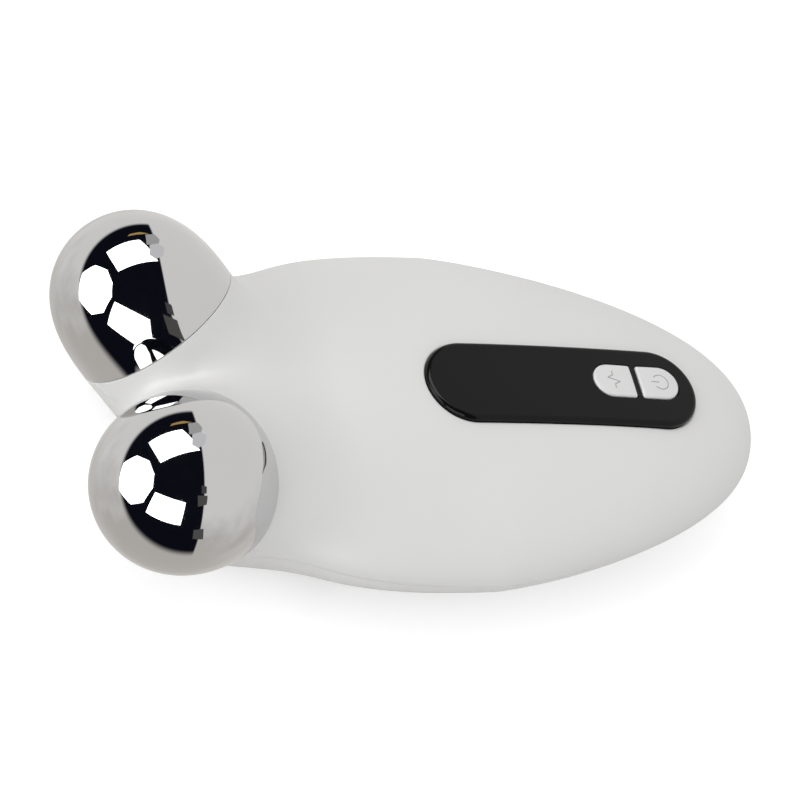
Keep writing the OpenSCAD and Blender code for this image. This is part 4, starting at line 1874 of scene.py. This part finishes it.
CARDS = (
    Card("overhead", (2.4, 2.4, 2.36), ((139, 34.5), (91.5, 48.8), (40, 74), (178, 52.5))),
    Card(
        "octagon",
        (2.36, 2.38, 2.4),
        (
            (169, 39.5),
            (-168, 40.5),
            (-153, 29.5),
            (-150, 7.5),
            (-160, -6.8),
            (179, -9.8),
            (158, 6),
            (156, 24),
        ),
    ),
    Card("side_box", (2.4, 2.38, 2.34), ((-146.3, 28), (-100.5, 33.5), (-99.5, 3), (-141.3, 0))),
    Card("lamp_stand", (0.30, 0.20, 0.07), ((76, 37.5), (85, 39.5), (103, 38.5), (99, 36), (86, 35.5))),
    Card("shelf_top", (0.045, 0.045, 0.045), ((-71.6, 54.3), (-61.8, 50.9), (-65.8, 42.9), (-74.7, 44.6))),
    Card("shelf_middle", (0.057, 0.056, 0.053), ((-82, 43), (-65, 40), (-69, 29.5), (-82, 29))),
    Card("shelf_bottom", (0.062, 0.062, 0.06), ((-83, -2), (-72, -1), (-69, -17), (-81, -15))),
    Card("stand_head", (0.285, 0.285, 0.28), ((81, 40), (70, 36.5), (63, 43), (62.5, 53.5), (82.5, 57)), 2.2),
    Card(
        "stand_box", (0.45, 0.45, 0.46), ((77, 57), (64, 50.5), (53, 51), (44, 63), (52, 74), (78, 72)), 2.15
    ),
)
LAMPS = (
    Lamp("overhead_lamp", (-0.3, 0.5, 1.1), size=0.9, power=2.4),
    Lamp("front_lamp", (-1.15, -0.1, 0.35), size=0.7, power=4.6),
    Lamp("side_lamp", (-0.5, -0.85, 0.35), size=0.6, power=0.8),
)


@dataclass
class Studio:
    """Pale floor, soft lamps, cards, the surround and the camera. Sizes in metres."""

    camera_place: Triple = (-0.241965, -0.307608, 0.459101)
    camera_right: Triple = (0.914858, -0.226149, 0.334502)
    camera_up: Triple = (-0.007131, 0.819256, 0.573384)
    camera_back: Triple = (-0.403713, -0.526950, 0.747890)
    lens: float = 132.75
    sensor: float = 36.0
    sight: Pair = (0.01, 20.0)
    floor_size: float = 6.0
    floor_dark: Colour = (0.70, 0.70, 0.70)
    floor_light: Colour = (0.73, 0.73, 0.73)
    floor_glow: float = 0.46

    def camera(self) -> None:
        """Places the camera by its own right, up and back directions."""
        data = bpy.data.cameras.new("camera")
        data.lens, data.sensor_width = self.lens, self.sensor
        data.clip_start, data.clip_end = self.sight
        made = bpy.data.objects.new("camera", data)
        columns = (self.camera_right, self.camera_up, self.camera_back, self.camera_place)
        made.matrix_world = Matrix([[c[i] for c in columns] for i in range(3)] + [[0, 0, 0, 1]])
        bpy.context.scene.collection.objects.link(made)
        bpy.context.scene.camera = made

    def floor(self) -> None:
        """A wide pale floor that keeps the object's shadow and reads white to the camera."""
        s = self.floor_size / 2
        corners = np.array([[-s, -s, 0], [s, -s, 0], [s, s, 0], [-s, s, 0]])
        made = mesh_object("floor", corners, [(0, 1, 2, 3)])
        tree = Tree("pale_floor")
        path = tree.add("ShaderNodeLightPath")
        glow = tree.spread(path.outputs["Is Camera Ray"], 0.0, self.floor_glow, start=0.0, end=1.0)
        tree.set(
            Base_Color=tree.tint(tree.spread(tree.noise(3.0), 0, 1), self.floor_dark, self.floor_light),
            Roughness=0.9,
            Specular_IOR_Level=0.1,
            Emission_Color=(1.0, 1.0, 1.0, 1.0),
            Emission_Strength=glow,
        )
        made.data.materials.append(tree.material)
        made.visible_glossy = False

    def build(self) -> None:
        """Sets up everything that isn't the object."""
        bpy.context.scene.view_settings.view_transform = "Standard"
        self.camera()
        self.floor()
        Surround().build()
        for thing in (*CARDS, *LAMPS):
            thing.build()


def main() -> None:
    """Builds the device and its studio."""
    logging.basicConfig(level=logging.INFO, format="%(name)s: %(message)s")
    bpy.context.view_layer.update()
    Studio().build()
    dress_carried()
    buttons = ButtonPair()
    Housing().build()
    ControlPanel(buttons).build()
    buttons.build()
    for side in Side:
        Roller(side).build()


if __name__ == "__main__":
    main()
